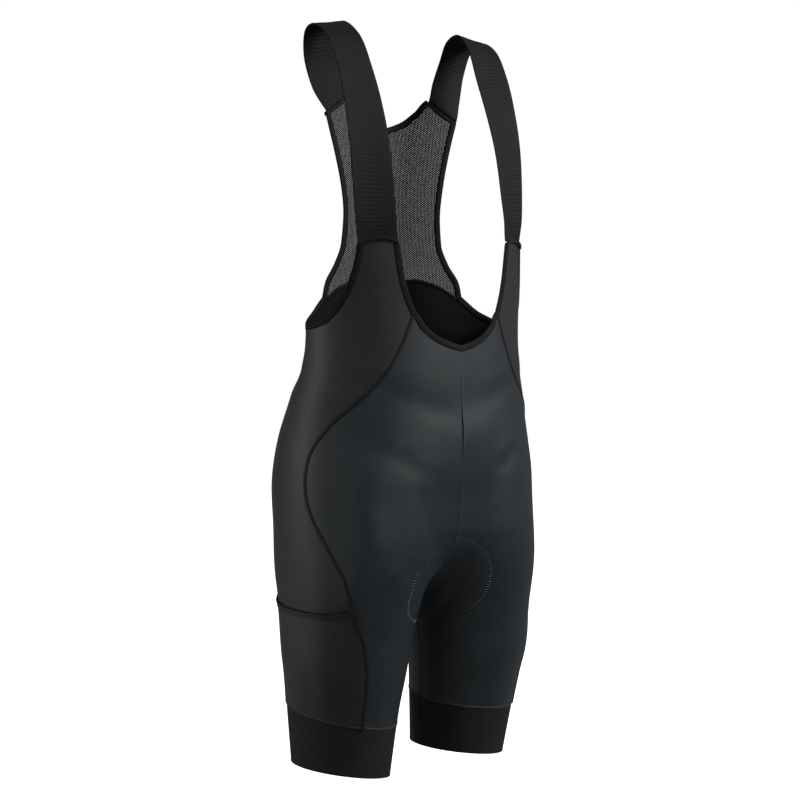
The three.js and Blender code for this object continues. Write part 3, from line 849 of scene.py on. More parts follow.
# Sewing. A tree of Geometry Nodes puts a thread at each kept point, turned along the seam.
class Tree:
    """A Geometry Nodes tree whose nodes are added and joined by name."""

    def __init__(self, name, finish, sizes):
        self.group = bpy.data.node_groups.new(name, "GeometryNodeTree")
        face = self.group.interface
        face.new_socket("Geometry", in_out="INPUT", socket_type="NodeSocketGeometry")
        self.sizes = {}
        for label, value in sizes.items():
            socket = face.new_socket(label, in_out="INPUT", socket_type="NodeSocketFloat")
            socket.default_value = value
            self.sizes[socket.identifier] = value
        face.new_socket("Geometry", in_out="OUTPUT", socket_type="NodeSocketGeometry")
        self.start = self.group.nodes.new("NodeGroupInput")
        self.finish = finish

    def node(self, kind, settings=(), *values, **sockets):
        return add_node(self.group, kind, settings, values, sockets)

    def size(self, label):
        return self.start.outputs[label]

    def maths(self, operation, *values):
        return self.node("ShaderNodeMath", {"operation": operation}, *values).outputs[0]

    def kept(self, name, kind="FLOAT"):
        return self.node("GeometryNodeInputNamedAttribute", {"data_type": kind}, Name=name).outputs["Attribute"]

    def close(self, geometry):
        real = self.node("GeometryNodeRealizeInstances", Geometry=geometry).outputs[0]
        done = self.node("GeometryNodeSetMaterial", Geometry=real, Material=self.finish).outputs[0]
        end = self.group.nodes.new("NodeGroupOutput")
        self.group.links.new(done, end.inputs[0])

    def grow(self, obj, name):
        """Runs the tree on an object and returns the result as a plain mesh object in its place."""
        modifier = obj.modifiers.new("grow", "NODES")
        modifier.node_group = self.group
        for identifier, value in self.sizes.items():
            modifier[identifier] = value
        bpy.context.view_layer.update()
        evaluated = obj.evaluated_get(bpy.context.evaluated_depsgraph_get())
        mesh = bpy.data.meshes.new_from_object(evaluated)
        bpy.data.objects.remove(obj)
        bpy.data.node_groups.remove(self.group)
        mesh.name = name
        mesh.shade_smooth()
        made = bpy.data.objects.new(name, mesh)
        bpy.context.scene.collection.objects.link(made)
        return made


CIRCLE = "GeometryNodeCurvePrimitiveCircle"


def thread_tree(finish, length, thick, rise):
    """Tree that bends one thread over each kept point: its ends go into the cloth."""
    tree = Tree("threads", finish, {"Length": length * MM, "Thickness": thick * MM, "Rise": rise * MM})
    half = tree.maths("MULTIPLY", tree.size("Length"), 0.5)
    sunk = tree.maths("MULTIPLY", tree.size("Thickness"), -0.6)
    top = tree.maths("MULTIPLY", tree.size("Rise"), 2.0)
    spots = {"Start": (tree.maths("MULTIPLY", half, -1.0), sunk), "Middle": (0.0, top), "End": (half, sunk)}
    ends = {key: tree.node("ShaderNodeCombineXYZ", X=x, Z=z).outputs[0] for key, (x, z) in spots.items()}
    bow = tree.node("GeometryNodeCurveQuadraticBezier", Resolution=5, **ends).outputs[0]
    ring = tree.node(CIRCLE, {"mode": "RADIUS"}, Resolution=5, Radius=tree.size("Thickness"))
    thread = tree.node("GeometryNodeCurveToMesh", Curve=bow, Profile_Curve=ring.outputs[0], Fill_Caps=True).outputs[0]
    align = "FunctionNodeAlignRotationToVector"
    up = tree.node(align, {"axis": "Z"}, Vector=tree.kept("out_way", "FLOAT_VECTOR")).outputs[0]
    turned = tree.node(align, {"axis": "X", "pivot_axis": "Z"}, Rotation=up, Vector=tree.kept("lie", "FLOAT_VECTOR"))
    spots = tree.node("GeometryNodeMeshToPoints", Mesh=tree.start.outputs["Geometry"]).outputs[0]
    placed = tree.node("GeometryNodeInstanceOnPoints", Points=spots, Instance=thread, Rotation=turned.outputs[0])
    tree.close(placed.outputs[0])
    return tree


def stitches(name, rows, finish, length, thick=0.17, rise=0.16):
    """Threads at points, each lying along its own way. rows is a list of (points, ways out, ways to lie)."""
    points, out, lie = (np.concatenate([row[k] for row in rows]) for k in range(3))
    spots = make("spots", points, np.zeros((0, 4), int), finish, faces_out=False, out_way=out, lie=lie)
    return thread_tree(finish, length, thick, rise).grow(spots, name)


def running(points, out, pitch, aside=0.0):
    """A row of stitches along a line."""
    away = across_line(points, out)
    count = max(int(lengths(points)[-1] / pitch), 2)
    even = evenly(np.concatenate([points + away * aside, out], 1), count + 1)
    middle = (even[1:] + even[:-1]) / 2
    return middle[:, :3], unit(middle[:, 3:]), unit(np.diff(even[:, :3], axis=0))


def zigzag(points, out, pitch, slant=50.0):
    """A row of slanting stitches along a line, by turns to one side and the other."""
    middle, way, ahead = running(points, out, pitch)
    away = unit(np.cross(ahead, way))
    turn = math.radians(slant) * (1 - 2 * (np.arange(len(middle)) % 2))[:, None]
    return middle, way, ahead * np.cos(turn) + away * np.sin(turn)


RIB_PITCH = 4.7
RIB_HEIGHT = 0.45
PLAIN_EDGE = 0.13
RIB_FADE = 0.035


def raise_ribs(obj, name, finish):
    """Raises the cross-ribs of the elastic between its plain edges, on both faces."""
    tree = Tree("ribs", finish, {"Pitch": RIB_PITCH, "Height": RIB_HEIGHT * MM, "Edge": PLAIN_EDGE})
    across = tree.kept("across")
    from_edge = tree.maths("MINIMUM", across, tree.maths("SUBTRACT", 1.0, across))
    far = tree.maths("ADD", tree.size("Edge"), RIB_FADE)
    span = {"Value": from_edge, "From_Min": tree.size("Edge"), "From_Max": far}
    ribbed = tree.node("ShaderNodeMapRange", {"interpolation_type": "SMOOTHSTEP"}, **span).outputs[0]
    turn = tree.maths("MULTIPLY", tree.maths("DIVIDE", tree.kept("along"), tree.size("Pitch")), math.pi)
    wave = tree.maths("POWER", tree.maths("ABSOLUTE", tree.maths("SINE", turn)), 0.75)
    rise = tree.maths("MULTIPLY", tree.maths("MULTIPLY", wave, ribbed), tree.size("Height"))
    out_way = tree.kept("out_way", "FLOAT_VECTOR")
    offset = tree.node("ShaderNodeVectorMath", {"operation": "SCALE"}, out_way, Scale=rise).outputs[0]
    moved = tree.node("GeometryNodeSetPosition", Geometry=tree.start.outputs["Geometry"], Offset=offset)
    tree.close(moved.outputs[0])
    return tree.grow(obj, name)


NET_PITCH = 2.3
NET_HOLE = 0.5
NET_THICK = 0.7
NET_TUCK = 1.9
NET_FOOT, NET_HEAD, NET_BASE = -318, -98, -332
NET_COLUMNS, NET_ROWS = 75, 116
NET_DEPTH = 0.75


def net_cells(finish):
    """A flat honeycomb: one rounded ring at each kept point, joined to its neighbours."""
    corner = NET_PITCH / math.sqrt(3)
    sizes = {"Corner": corner, "Hole": NET_HOLE / math.sqrt(3), "Half thickness": NET_THICK / 2}
    tree = Tree("net", finish, sizes)
    reach = tree.maths("SUBTRACT", tree.size("Hole"), tree.size("Corner"))
    half = tree.size("Half thickness")
    low = tree.maths("MULTIPLY", half, -1.0)
    ring = tree.node(CIRCLE, {"mode": "RADIUS"}, Resolution=6, Radius=tree.size("Corner"))
    spots = [(0.0, half), (reach, 0.0), (0.0, low)]
    pieces = [tree.node("ShaderNodeCombineXYZ", X=x, Y=y).outputs[0] for x, y in spots]
    section = tree.node("GeometryNodeJoinGeometry")
    for start, end in zip(pieces, pieces[1:]):
        line = tree.node("GeometryNodeCurvePrimitiveLine", {"mode": "POINTS"}, Start=start, End=end)
        tree.group.links.new(line.outputs[0], section.inputs[0])
    cell = tree.node("GeometryNodeCurveToMesh", Curve=ring.outputs[0], Profile_Curve=section.outputs[0]).outputs[0]
    points = tree.node("GeometryNodeMeshToPoints", Mesh=tree.start.outputs["Geometry"]).outputs[0]
    placed = tree.node("GeometryNodeInstanceOnPoints", Points=points, Instance=cell).outputs[0]
    real = tree.node("GeometryNodeRealizeInstances", Geometry=placed).outputs[0]
    tree.close(tree.node("GeometryNodeMergeByDistance", Geometry=real, Distance=0.02).outputs[0])
    return tree


side_at = curve(MESH_SIDE["z"], MESH_SIDE["u"])
END_U = float(MESH_SIDE["u"][-1])


def net_places():
    """Arc length round the back for each u at each height, to lay the flat net on the figure."""
    heights = np.arange(-335.0, -60.0, 5.0)
    u = np.linspace(1, 0.55, 100)
    points, _ = figure(u[None, :], heights[:, None])
    return heights, u, [lengths(row) for row in points]


def u_on_net(x, z, places):
    """u of a flat distance x from the centre back at height z."""
    heights, u, arc = places
    at = np.clip((z - heights[0]) / (heights[1] - heights[0]), 0, len(heights) - 1.001)
    low = at.astype(int)
    out = np.empty_like(x)
    for row in np.unique(low):
        here = low == row
        both = [np.interp(x[here], arc[r], u) for r in (row, row + 1)]
        out[here] = mix(both[0], both[1], at[here] - row)
    return out


def net_limits(u, z):
    """Furthest u, lowest z and highest z of the net at (u, z), tucked under the bindings."""
    furthest = side_at(np.clip(z, NET_FOOT, NET_HEAD)) - NET_TUCK / GIRTH
    share = np.clip((1 - u) / (1 - END_U), 0, 1)
    tuck = NET_TUCK * smooth((MESH_NECK - share) / 0.06)
    return furthest, top_edge(np.maximum(u, 0.612)) + SEAM / 2, mesh_top(share) + tuck


def mesh_net(finish):
    """The hexagonal net of the upper back, on the figure and cut to its outline."""
    places = net_places()
    wide, tall = NET_PITCH * math.sqrt(3) / 2, NET_PITCH
    i, j = np.meshgrid(np.arange(-NET_COLUMNS, NET_COLUMNS + 1), np.arange(-2, NET_ROWS), indexing="ij")
    x, z = i.ravel() * wide, NET_BASE + j.ravel() * tall + (i.ravel() % 2) * tall / 2
    u = u_on_net(np.abs(x), z, places)
    furthest, low, high = net_limits(u, z)
    keep = (u > furthest - 1.0 / GIRTH) & (z > low - 0.6) & (z < high + 1.0)
    flat = np.stack([x[keep], z[keep], np.zeros(keep.sum())], 1)
    spots = make("cells", flat / MM, np.zeros((0, 4), int), finish, faces_out=False)
    cells = net_cells(finish).grow(spots, "mesh_back")
    mesh = cells.data
    co = np.empty(len(mesh.vertices) * 3, np.float32)
    mesh.vertices.foreach_get("co", co)
    co = co.reshape(-1, 3).astype(float)
    u = u_on_net(np.abs(co[:, 0]), co[:, 1], places)
    for _ in range(2):
        furthest, low, high = net_limits(u, co[:, 1])
        u, co[:, 1] = np.maximum(u, furthest), np.clip(co[:, 1], low, high)
    points, out = figure(u, co[:, 1])
    turned = np.ones((len(u), 3))
    turned[co[:, 0] < 0, 0] = -1
    points = (points + out * (co[:, 2] - NET_DEPTH)[:, None]) * turned
    mesh.vertices.foreach_set("co", (points * MM).astype(np.float32).ravel())
    mesh.update()
    return cells


class Socket:
    """A shader value that can be added, multiplied and shaped."""

    def __init__(self, look, socket):
        self.look, self.socket = look, socket

    def _maths(self, operation, *values):
        return self.look.node("ShaderNodeMath", {"operation": operation}, *values)[0]

    def __add__(self, other):
        return self._maths("ADD", self, other)

    def __sub__(self, other):
        return self._maths("SUBTRACT", self, other)

    def __mul__(self, other):
        return self._maths("MULTIPLY", self, other)

    def __truediv__(self, other):
        return self._maths("DIVIDE", self, other)

    __radd__ = __add__
    __rmul__ = __mul__

    def sin(self):
        return self._maths("SINE", self)

    def size(self):
        return self._maths("ABSOLUTE", self)

    def part(self):
        return self._maths("FRACT", self)

    def between(self, low, high):
        """0 below low, 1 above high, and smooth between them."""
        settings = {"interpolation_type": "SMOOTHSTEP"}
        return self.look.node("ShaderNodeMapRange", settings, Value=self, From_Min=low, From_Max=high)[0]


class Look:
    """A material built from nodes by name."""

    def __init__(self, name, **constants):
        self.material = bpy.data.materials.new(name)
        self.material.use_nodes = True
        self.tree = self.material.node_tree
        self.shader = self.tree.nodes["Principled BSDF"]
        for key, value in constants.items():
            self.shader.inputs[key.replace("_", " ")].default_value = value

    def node(self, kind, settings=(), *values, **sockets):
        """Outputs of a new node."""
        node = add_node(self.tree, kind, settings, values, sockets)
        return [Socket(self, out) for out in node.outputs]

    def place(self, layer=None):
        """Where the surface is: on the flat cloth, or in the object."""
        if layer:
            return self.node("ShaderNodeUVMap", {"uv_map": layer})[0]
        return Socket(self, self.tree.nodes.new("ShaderNodeTexCoord").outputs["Object"])

    def parts(self, vector):
        return self.node("ShaderNodeSeparateXYZ", (), vector)

    def noise(self, where, scale, detail=3.0, rough=0.5):
        sockets = {"Vector": where, "Scale": scale, "Detail": detail, "Roughness": rough}
        return self.node("ShaderNodeTexNoise", (), **sockets)[0]

    def blend(self, factor, first, second):
        """A colour between two colours."""
        node = add_node(self.tree, "ShaderNodeMix", {"data_type": "RGBA"}, (), {})
        for place, value in ((0, factor), (6, first), (7, second)):
            connect(self.tree, value, node.inputs[place])
        return Socket(self, node.outputs[2])

    def bump(self, height, distance, strength=1.0, under=None):
        more = {"Normal": under} if under else {}
        return self.node("ShaderNodeBump", (), Height=height, Distance=distance, Strength=strength, **more)[0]

    def feed(self, **sockets):
        for key, value in sockets.items():
            self.tree.links.new(value.socket, self.shader.inputs[key.replace("_", " ")])
        return self.material


def shade(code, light=1.0):
    """Linear colour of a six-figure screen colour."""
    parts = [int(code[i : i + 2], 16) / 255 for i in (0, 2, 4)]
    return (*[light * (c / 12.92 if c <= 0.04045 else ((c + 0.055) / 1.055) ** 2.4) for c in parts], 1)


def knit(look, flat, wale, course):
    """Height of a fine knit: columns of small V-shaped loops."""
    across, along, _ = look.parts(flat)
    column = across / wale
    lean = (column.part() - 0.5).size()
    loop = ((along / course + lean * 0.9).part() - 0.5).size()
    groove = lean.between(0.5, 0.34)
    return groove * 0.7 + loop.between(0.5, 0.1) * 0.5


def stretch_cloth(name, low, high, sheen=0.12, rough=0.37, gloss=0.5, banded=False):
    """Fine stretch knit with a soft gloss that wanders a little. One with painted edge shade is darker along both its
    sides, painted shade, and lighter down its middle, a painted highlight.
    """
    look = Look(name, Specular_IOR_Level=gloss, Sheen_Weight=sheen, Sheen_Roughness=0.42, Sheen_Tint=shade("8f98a2"))
    flat, solid = look.place("flat"), look.place()
    height = knit(look, flat, 0.00062, 0.00048)
    wide = look.noise(solid, 9.0, 4.0)
    fine = look.noise(solid, 420.0, 2.0)
    streak = look.noise(look.node("ShaderNodeMapping", (), Vector=flat, Scale=(900.0, 26.0, 1.0))[0], 1.0, 2.0)
    factor = wide * 0.55 + height * 0.18 + streak * 0.2 + fine * 0.12 - 0.08
    if banded:
        # Painted shade along both sides of the tape and a painted highlight down its middle.
        factor = factor * 0.6 + (look.parts(flat)[0] / 0.008 - 0.5).size().between(0.34, 0.2) * 0.7 - 0.3
    colour = look.blend(factor, shade(low), shade(high))
    dullness = wide * 0.12 - height * 0.06 + fine * 0.05 + rough
    soft = look.bump(look.noise(solid, 55.0, 3.0), 0.0009, 0.35)
    normal = look.bump(height * 0.8 + streak * 0.25 + fine * 0.15, 0.00012, 0.8, soft)
    return look.feed(Base_Color=colour, Roughness=dullness, Normal=normal)


def elastic_cloth(name, low, high, rib=0.0013, sheen=0.25):
    """Woven elastic: fine cords along it, crossed by the weft."""
    look = Look(name, Specular_IOR_Level=0.22, Sheen_Weight=sheen, Sheen_Roughness=0.5, Sheen_Tint=shade("96928c"))
    flat, solid = look.place("flat"), look.place()
    across, along, _ = look.parts(flat)
    cord = ((across / rib).part() - 0.5).size().between(0.5, 0.12)
    weft = ((along / (rib * 0.55)).part() - 0.5).size().between(0.5, 0.1)
    height = cord * 0.65 + weft * 0.35
    wide, fine = look.noise(solid, 14.0, 4.0), look.noise(solid, 520.0, 2.0)
    colour = look.blend(wide * 0.5 + height * 0.3 + fine * 0.2 - 0.05, shade(low), shade(high))
    rough = 0.62 + wide * 0.12 + fine * 0.06 - height * 0.05
    normal = look.bump(height + fine * 0.3, 0.00016, 0.8, look.bump(wide, 0.0012, 0.3))
    return look.feed(Base_Color=colour, Roughness=rough, Normal=normal)


def thread(name, low, high):
    """Twisted sewing thread."""
    look = Look(name, Specular_IOR_Level=0.4, Sheen_Weight=0.3, Sheen_Roughness=0.4)
    solid = look.place()
    across, along, up = look.parts(solid)
    twist = ((across + along * 0.7 + up * 1.3) * 14000.0).sin() * 0.5 + 0.5
    worn_part = look.noise(solid, 60.0, 3.0)
    colour = look.blend(twist * 0.35 + worn_part * 0.5, shade(low), shade(high))
    return look.feed(Base_Color=colour, Roughness=0.5 + worn_part * 0.2, Normal=look.bump(twist, 0.00005, 0.6))


def net_yarn(name, low, high):
    """Yarn of the net, in lighter and darker columns."""
    look = Look(name, Specular_IOR_Level=0.35, Sheen_Weight=0.3, Sheen_Roughness=0.45)
    solid = look.place()
    across, _, up = look.parts(solid)
    loops = (((across + up * 0.04) / 0.0052).part() - 0.5).size().between(0.42, 0.12)
    wide, fine = look.noise(solid, 20.0, 3.0), look.noise(solid, 700.0, 2.0)
    colour = look.blend(wide * 0.3 + loops * 0.6 + fine * 0.1, shade(low), shade(high))
    return look.feed(Base_Color=colour, Roughness=0.58 + fine * 0.2, Normal=look.bump(loops + fine, 0.00012, 0.7))


def plain(name, colour):
    """The pale paper of the floor, with a faint tooth."""
    look = Look(name, Specular_IOR_Level=0.2, Emission_Strength=1.1)
    grain = look.noise(look.place(), 3.0, 3.0)
    paper = look.blend(grain * 0.2, shade(colour), shade(colour, 0.96))
    return look.feed(Base_Color=paper, Emission_Color=paper, Roughness=grain * 0.05 + 0.85)


FINISH = {
    "front": stretch_cloth("front_cloth", "151b1f", "2b3339"),
    "side": stretch_cloth("side_cloth", "17171b", "2b2b31"),
    "back": stretch_cloth("back_cloth", "14191d", "282f36"),
    "pocket": stretch_cloth("pocket_cloth", "17161b", "2b2a30"),
    "hem": stretch_cloth("pocket_hem_cloth", "101012", "222126", 0.1, 0.45, 0.35),
    # The inner face's darker colour is painted shade inside the shorts.
    "inside": stretch_cloth("inside_cloth", "08080a", "131316", 0.04, 0.7, 0.15),
    "band": elastic_cloth("band_elastic", "151513", "2f2e2a", 0.0016, 0.06),
    "strap": elastic_cloth("strap_elastic", "0e0e0d", "22211f", 0.0012, 0.05),
    "binding": stretch_cloth("binding_tape", "040404", "0d0d0d", 0.03, 0.6, 0.2),
    # The seam tape's darker sides are painted shade and its lighter middle is a painted highlight.
    "seam": stretch_cloth("seam_tape", "050505", "20201d", 0.04, 0.5, 0.25, True),
    "pale_seam": stretch_cloth("band_seam_tape", "262b30", "3e464d", 0.15),
    "net": net_yarn("net_yarn", "0f0f0e", "23221f"),
    "thread": thread("dark_thread", "0c0d0d", "1f201f"),
    "pale_thread": thread("grey_thread", "2b2f33", "4b5157"),
    "pad_thread": thread("pad_thread", "4a5359", "6c767d"),
    "floor": plain("paper", "ffffff"),
}


made = {}


def settle(obj, slot, *nodes):
    """Puts a piece on the body in place of the solids that it stands for, and hides them. The slot is not used."""
    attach(obj, "root")
    if nodes:
        obj.name = f"sewn_{nodes[0]}"
        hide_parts(*nodes)
    made[nodes[0] if nodes else obj.name] = obj
    return obj


def over_pocket(z):
    """How far a seam rises where it also holds a pocket, most at the pocket's mouth."""
    return 0.85 * smooth((CROTCH + 8 - z) / 6) + 0.45 * np.exp(-(((z - CROTCH) / 9) ** 2))


# Width and height of each seam's section.
LONG_SEAM, MIDDLE_SEAM, BAND_SEAM, FOOT_SEAM = (4.4, 0.8), (1.7, 0.3), (2.4, 0.45), (4.2, 0.6)
# The last size is for the dark strip of painted shade along the seat pad's outline.
INSEAM, BAND_CLOSING, TOP_TAPE, PAD_SHADE_STRIP = (1.6, 0.1), (2.0, 0.2), (5.2, 0.5), (4.2, 0.2)


def trim(name, points, out, section, finish="binding", **more):
    """A seam, tape or cord along a line, on the body."""
    obj = tube(name, points, out, across_line(points, out), section, FINISH[finish], **more)
    return settle(obj, "binding")


def long_seam(name, side, line, end):
    """A flat seam down the length of the shorts, on the panels' own edges, with its cover threads."""
    level = np.linspace(TOP, end, 260)
    u = line(level, side)
    above = np.clip((level - WAIST) / (TOP - WAIST), 0, 1)
    points, out = on_line(u, level + above * (top_edge(u) - SEAM / 2 - TOP), side)
    points = points + out * over_pocket(points[:, 2])[:, None]
    trim(name, points, out, flat_seam(*LONG_SEAM), "seam")
    return zigzag(points + out * LONG_SEAM[1], out, 1.9)


def plain_seam(name, side, u, start, end, size):
    """A seam from one height to another at u."""
    points, out = on_line(np.linspace(u, u, 60), np.linspace(start, end, 60), side)
    trim(name, points, out, flat_seam(*size), "seam")
    return zigzag(points + out * size[1], out, 1.8)


def middle_seam(name, z0, z1, u, finish="seam"):
    """A seam down the middle of the body, where both halves meet."""
    z = np.linspace(z0, z1, 160)
    points, out = on_line(np.full(len(z), float(u)), z, 1)
    points[:, 0], out[:, 0] = 0, 0
    out = unit(out)
    trim(name, points, out, flat_seam(*MIDDLE_SEAM), finish)
    return zigzag(points + out * MIDDLE_SEAM[1], out, 1.8)


def band_seam(word, side):
    """The seam round the top of a leg band, and its stitching. It rises over the pocket."""
    u = np.linspace(0, 1, 240)
    points, out, _ = worn(u, leg_edge(BAND, u, side), side)
    along = lengths(evenly(np.concatenate([points, out], 1), 190)[:-1, :3])
    u = np.interp(along / along[-1], u, u)
    points, out, _ = worn(u, leg_edge(BAND, u, side), side)
    start, end = at_front_seam(BAND, side), at_back_seam(BAND, side)
    lift = 0.75 * smooth((u - start + 0.007) / 0.012) * smooth((end + 0.007 - u) / 0.012)
    points = points + out * lift[:, None]
    trim(f"band_seam_{word}", points, out, flat_seam(*BAND_SEAM), "pale_seam", closed=True)
    return zigzag(points + out * BAND_SEAM[1], out, 1.9)


def arm_step(side, t, s0, s1):
    (u0, z0), (u1, z1) = arm_grid(t, s0, side), arm_grid(t, s1, side)
    return worn(u1, z1, side)[0] - worn(u0, z0, side)[0]


def half_neck(side):
    """u and z of the neckline from the strap to the centre front."""
    t = np.linspace(1, 0, 60)
    u, z = arm_grid(t, np.zeros(60), side)
    front_u = np.linspace(front_seam(TOP), 0, 60)[1:]
    return np.append(u, front_u), np.append(z, top_edge(front_u) - SEAM / 2)


def over_middle(halves):
    """One line of points and ways out from the right half's line and the left half's, which both end in the middle."""
    right, left = halves
    return [np.concatenate([a, b[::-1][1:]]) for a, b in zip(right, left)]


def neck_binding(name):
    points, out = over_middle([worn(*half_neck(side), side)[:2] for side in (-1, 1)])
    ends = arm_step(-1, 1.0, 0.25, 0.0), arm_step(1, 1.0, 0.25, 0.0)
    return binding(name, points, out, -1, *ends)


def arm_binding(name, side):
    """The binding down a bib arm, under the arm and up the edge of the net."""
    t = np.linspace(0, 1, 70)
    down_u, down_z = arm_grid(np.linspace(1, 0, 50), np.ones(50), side)
    under_u = np.linspace(down_u[-1], back_seam(TOP) - HALF_SEAM, 60)[1:]
    places = [(down_u, down_z), (under_u, top_edge(under_u) - SEAM / 2), (mesh_side["u"](t), mesh_side["z"](t))]
    down, under, up = (worn(u, z, side)[:2] for u, z in places)
    points, out = (np.concatenate([down[k], under[k], up[k][2:]]) for k in (0, 1))
    end = worn(0.645, -98, side)[0] - worn(0.663, -92, side)[0]
    return binding(name, points, out, -side, arm_step(side, 1.0, 0.75, 1.0), end)


def back_neck_binding(name):
    share = np.linspace(MESH_NECK, 0, 60)
    u, z = 1 - (1 - END_U) * share, mesh_top(share)
    points, out = over_middle([worn(u, z, side)[:2] for side in (-1, 1)])
    outer = 1 - (1 - END_U) * 0.85
    ends = [worn(u[0], z[0], side)[0] - worn(outer, mesh_top(0.85), side)[0] for side in (-1, 1)]
    return binding(name, points, out, 1, *ends)


def build_cloth():
    for word, side in SIDES.items():
        settle(front_panel(word, side), "front_cloth", f"front_{word}")
        settle(side_panel(word, side), "side_cloth", f"side_{word}")
        settle(back_panel(word, side), "front_cloth", f"back_{word}")
        settle(band(word, side), "gripper", f"band_{word}")
        settle(pocket(word, side), "side_cloth", f"pocket_{word}")
        settle(pocket_hem(word, side), "binding", f"pocket_hem_{word}")
        name, finish = f"strap_{word}", FINISH["strap"]
        settle(raise_ribs(strap(side, finish), name, finish), "elastic", name)
    settle(mesh_net(FINISH["net"]), "mesh", "mesh_back")


NECK_BINDINGS = {"neck_front": neck_binding, "neck_back": back_neck_binding}


def build_bindings():
    """The bindings, and two rows of stitches on each."""
    rows = []
    bound = {f"binding_{kind}": bind(f"binding_{kind}") for kind, bind in NECK_BINDINGS.items()}
    for word, side in SIDES.items():
        bound[f"binding_arm_{word}"] = arm_binding(f"binding_arm_{word}", side)
    for name, (obj, points, out, away) in bound.items():
        settle(obj, "binding", name)
        for far in BINDING_ROWS:
            rows.append(running(points + away * far + out * (BINDING_PROUD - 0.02), out, 3.0))
    return rows


CLOSING_U = 0.99


def build_seams():
    """The seams. Returns their stitches."""
    rows = []
    for word, side in SIDES.items():
        foot = leg_edge(BAND, at_front_seam(BAND, side), side)
        rows.append(long_seam(f"front_seam_{word}", side, at_front_seam, foot - 3.0))
        foot = leg_edge(BAND, at_back_seam(BAND, side), side)
        rows.append(long_seam(f"back_seam_{word}", side, at_back_seam, foot - 1))
        plain_seam(f"inseam_{word}", side, 0, CROTCH - 1, leg_edge(BAND, 0, side) + 1, INSEAM)
        start, end = leg_edge(BAND, CLOSING_U, side) - 0.5, leg_edge(HEM, CLOSING_U, side) + 0.8
        rows.append(plain_seam(f"band_closing_{word}", side, CLOSING_U, start, end, BAND_CLOSING))
    middle_seam("centre_front_seam", -378, CROTCH + 1, 0, "pale_seam")
    rows.append(middle_seam("centre_back_seam", -301, CROTCH + 1, 1))
    return rows


def net_foot_seam():
    """The seam where the net is sewn to the shorts."""
    u = np.linspace(0.616, 1, 120)
    points, out = over_middle([on_line(u, top_edge(u), side) for side in (-1, 1)])
    trim("net_foot_seam", points, out, flat_seam(*FOOT_SEAM, sunk=1.9))
    return [running(points + out * FOOT_SEAM[1], out, 2.8, aside) for aside in (-1.0, 1.0)]


def net_top_tape():
    """Tape on the inside of the net, where each strap is sewn to it."""
    rows = []
    across = np.linspace(0.02, 0.98, 40)
    for word, side in SIDES.items():
        points, out, _ = worn(*back_lap(3.2, across, side), side, -1.5)
        trim(f"net_top_tape_{word}", points, -out, flat_seam(*TOP_TAPE))
        rows += [running(points - out * TOP_TAPE[1], -out, 2.4, aside) for aside in (-1.4, 1.4)]
    return rows


def pad_stitches():
    """The seat pad's outline: a dark strip in its sunk groove, painted shade, crossed by pale stitches."""
    rows = []
    for word, side in SIDES.items():
        for part, places in (("front", PAD_FRONT), ("back", PAD_BACK)):
            points, out, _ = worn(*pad_places(places, side, 150), side, 0.1)
            # The dark strip is painted shade in the groove of the pad's outline.
            trim(f"pad_line_{part}_{word}", points, out, flat_seam(*PAD_SHADE_STRIP))
            middle, way, ahead = running(points + out * PAD_SHADE_STRIP[1], out, 3.4)
            rows.append((middle, way, unit(np.cross(ahead, way) + 0.25 * ahead)))
    return rows


def mouth_shadow_cord(word, side):
    """A dark cord along the pocket's mouth: a painted shadow of the gap where the mouth stands open."""
    u = np.linspace(at_front_seam(CROTCH, side) + 0.004, at_back_seam(CROTCH, side) - 0.004, 90)
    z = mouth_level(u, CROTCH + 0.3, side)
    points, out, _ = worn(u, z, side, POCKET_LIFT + 0.1 + mouth_lift(z, u, side))
    ring = [(0.75 * math.cos(a), 0.6 * math.sin(a)) for a in np.linspace(0, 2 * math.pi, 8, endpoint=False)]
    trim(f"mouth_cord_{word}", points, out, np.array(ring))


def hem_stitches():
    """Two rows of stitches along each pocket's hem."""
    rows = []
    for side in (-1, 1):
        for down in (2.0, 6.0):
            u = np.linspace(at_front_seam(CROTCH, side) + 0.006, at_back_seam(CROTCH, side) - 0.006, 80)
            z = mouth_level(u, CROTCH + 0.4 - down, side)
            points, out, _ = worn(u, z, side, POCKET_LIFT + 0.47 + mouth_lift(z, u, side))
            rows.append(running(points, out, 2.6))
    return rows


def build_sewing():
    seams, bound = build_seams(), build_bindings()
    bands = [band_seam(word, side) for word, side in SIDES.items()]
    for word, side in SIDES.items():
        # A painted shadow along each pocket's mouth.
        mouth_shadow_cord(word, side)
    settle(stitches("seam_stitches", seams, FINISH["thread"], 3.6, 0.16, 0.1), "binding")
    bound += [*net_foot_seam(), *net_top_tape(), *strap_stitches(), *hem_stitches()]
    settle(stitches("binding_stitches", bound, FINISH["thread"], 2.3), "binding")
    settle(stitches("band_stitches", bands, FINISH["pale_thread"], 2.8, 0.15, 0.1), "gripper")
    settle(stitches("pad_stitches", pad_stitches(), FINISH["pad_thread"], 3.9, 0.58, 0.3), "front_cloth")


# Width, length and flat area of each cloth's cut, in metres.
CUTS = {
    "front": (0.18, 0.47, 0.065),
    "side": (0.19, 0.56, 0.072),
    "back": (0.17, 0.51, 0.066),
    "band": (0.39, 0.063, 0.0245),
    "pocket": (0.155, 0.14, 0.0215),
    "strap": (0.047, 0.39, 0.018),
    "mesh_back": (0.235, 0.225, 0.035),
}


def declare_cuts():
    for name, obj in made.items():
        kind = name.rsplit("_", 1)[0] if name.endswith(("_right", "_left")) else name
        kind in CUTS


build_cloth()
build_sewing()
declare_cuts()


CAMERA = {"azimuth": -37.0, "elevation": 4.0, "distance": 1.9, "aim": (0.0, 0.0, -0.44), "lens": 71.25}


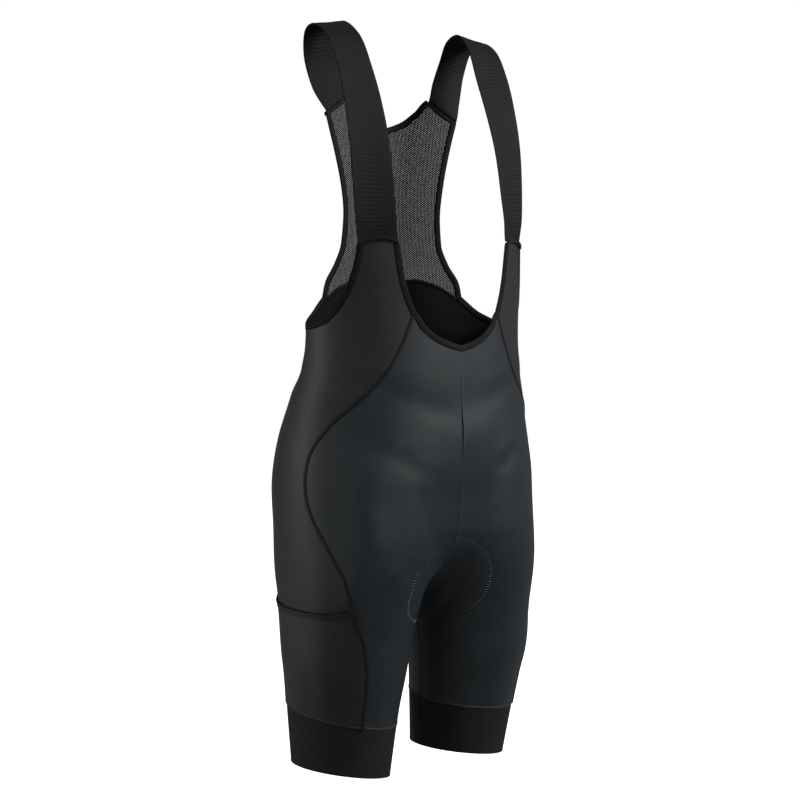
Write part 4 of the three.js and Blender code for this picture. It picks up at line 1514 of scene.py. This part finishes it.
def stand(name, data, azimuth, elevation, distance, aim):
    """A camera or light that looks at a point from a bearing."""
    a, e = math.radians(azimuth), math.radians(elevation)
    back = Vector((math.sin(a) * math.cos(e), -math.cos(a) * math.cos(e), math.sin(e)))
    obj = bpy.data.objects.new(name, data)
    obj.location = Vector(aim) + back * distance
    obj.rotation_mode = "QUATERNION"
    obj.rotation_quaternion = back.to_track_quat("Z", "Y")
    bpy.context.scene.collection.objects.link(obj)
    return obj


def add_camera():
    data = bpy.data.cameras.new("camera")
    data.lens, data.sensor_width = CAMERA["lens"], 36.0
    data.shift_x, data.shift_y = 0.5 / 800, 2.0 / 800
    place = [CAMERA[key] for key in ("azimuth", "elevation", "distance", "aim")]
    bpy.context.scene.camera = stand("camera", data, *place)


def add_light(name, azimuth, elevation, distance, size, power):
    data = bpy.data.lights.new(name, "AREA")
    data.shape, data.size, data.size_y, data.energy = "RECTANGLE", size[0], size[1], power
    stand(name, data, azimuth, elevation, distance, (0, 0, -0.5))


def add_floor():
    """A plain pale floor, clear of the shorts."""
    corners = [(x * 4000, y * 4000, -1000) for x, y in ((-1, -1), (1, -1), (1, 1), (-1, 1))]
    floor = make("floor", corners, [[0, 1, 2, 3]], FINISH["floor"], faces_out=False)
    floor.visible_diffuse = floor.visible_glossy = False


AMBIENT = 0.14


def add_world():
    """White behind the shorts, and a dim even light on them."""
    world = bpy.data.worlds.new("studio")
    world.use_nodes = True
    nodes, links = world.node_tree.nodes, world.node_tree.links
    dim, white = nodes["Background"], nodes.new("ShaderNodeBackground")
    ray, blend = nodes.new("ShaderNodeLightPath"), nodes.new("ShaderNodeMixShader")
    dim.inputs["Color"].default_value = white.inputs["Color"].default_value = (1, 1, 1, 1)
    dim.inputs["Strength"].default_value, white.inputs["Strength"].default_value = AMBIENT, 1.0
    links.new(ray.outputs["Is Camera Ray"], blend.inputs[0])
    links.new(dim.outputs[0], blend.inputs[1])
    links.new(white.outputs[0], blend.inputs[2])
    links.new(blend.outputs[0], nodes["World Output"].inputs["Surface"])
    bpy.context.scene.world = world
    bpy.context.scene.view_settings.view_transform = "Standard"


add_camera()
add_light("key", 38, 28, 2.6, (0.9, 0.9), 47)
add_light("fill", -60, 35, 3.0, (1.6, 1.6), 4)
add_light("rim_left", -112, 8, 2.4, (0.4, 1.9), 18)
add_floor()
add_world()

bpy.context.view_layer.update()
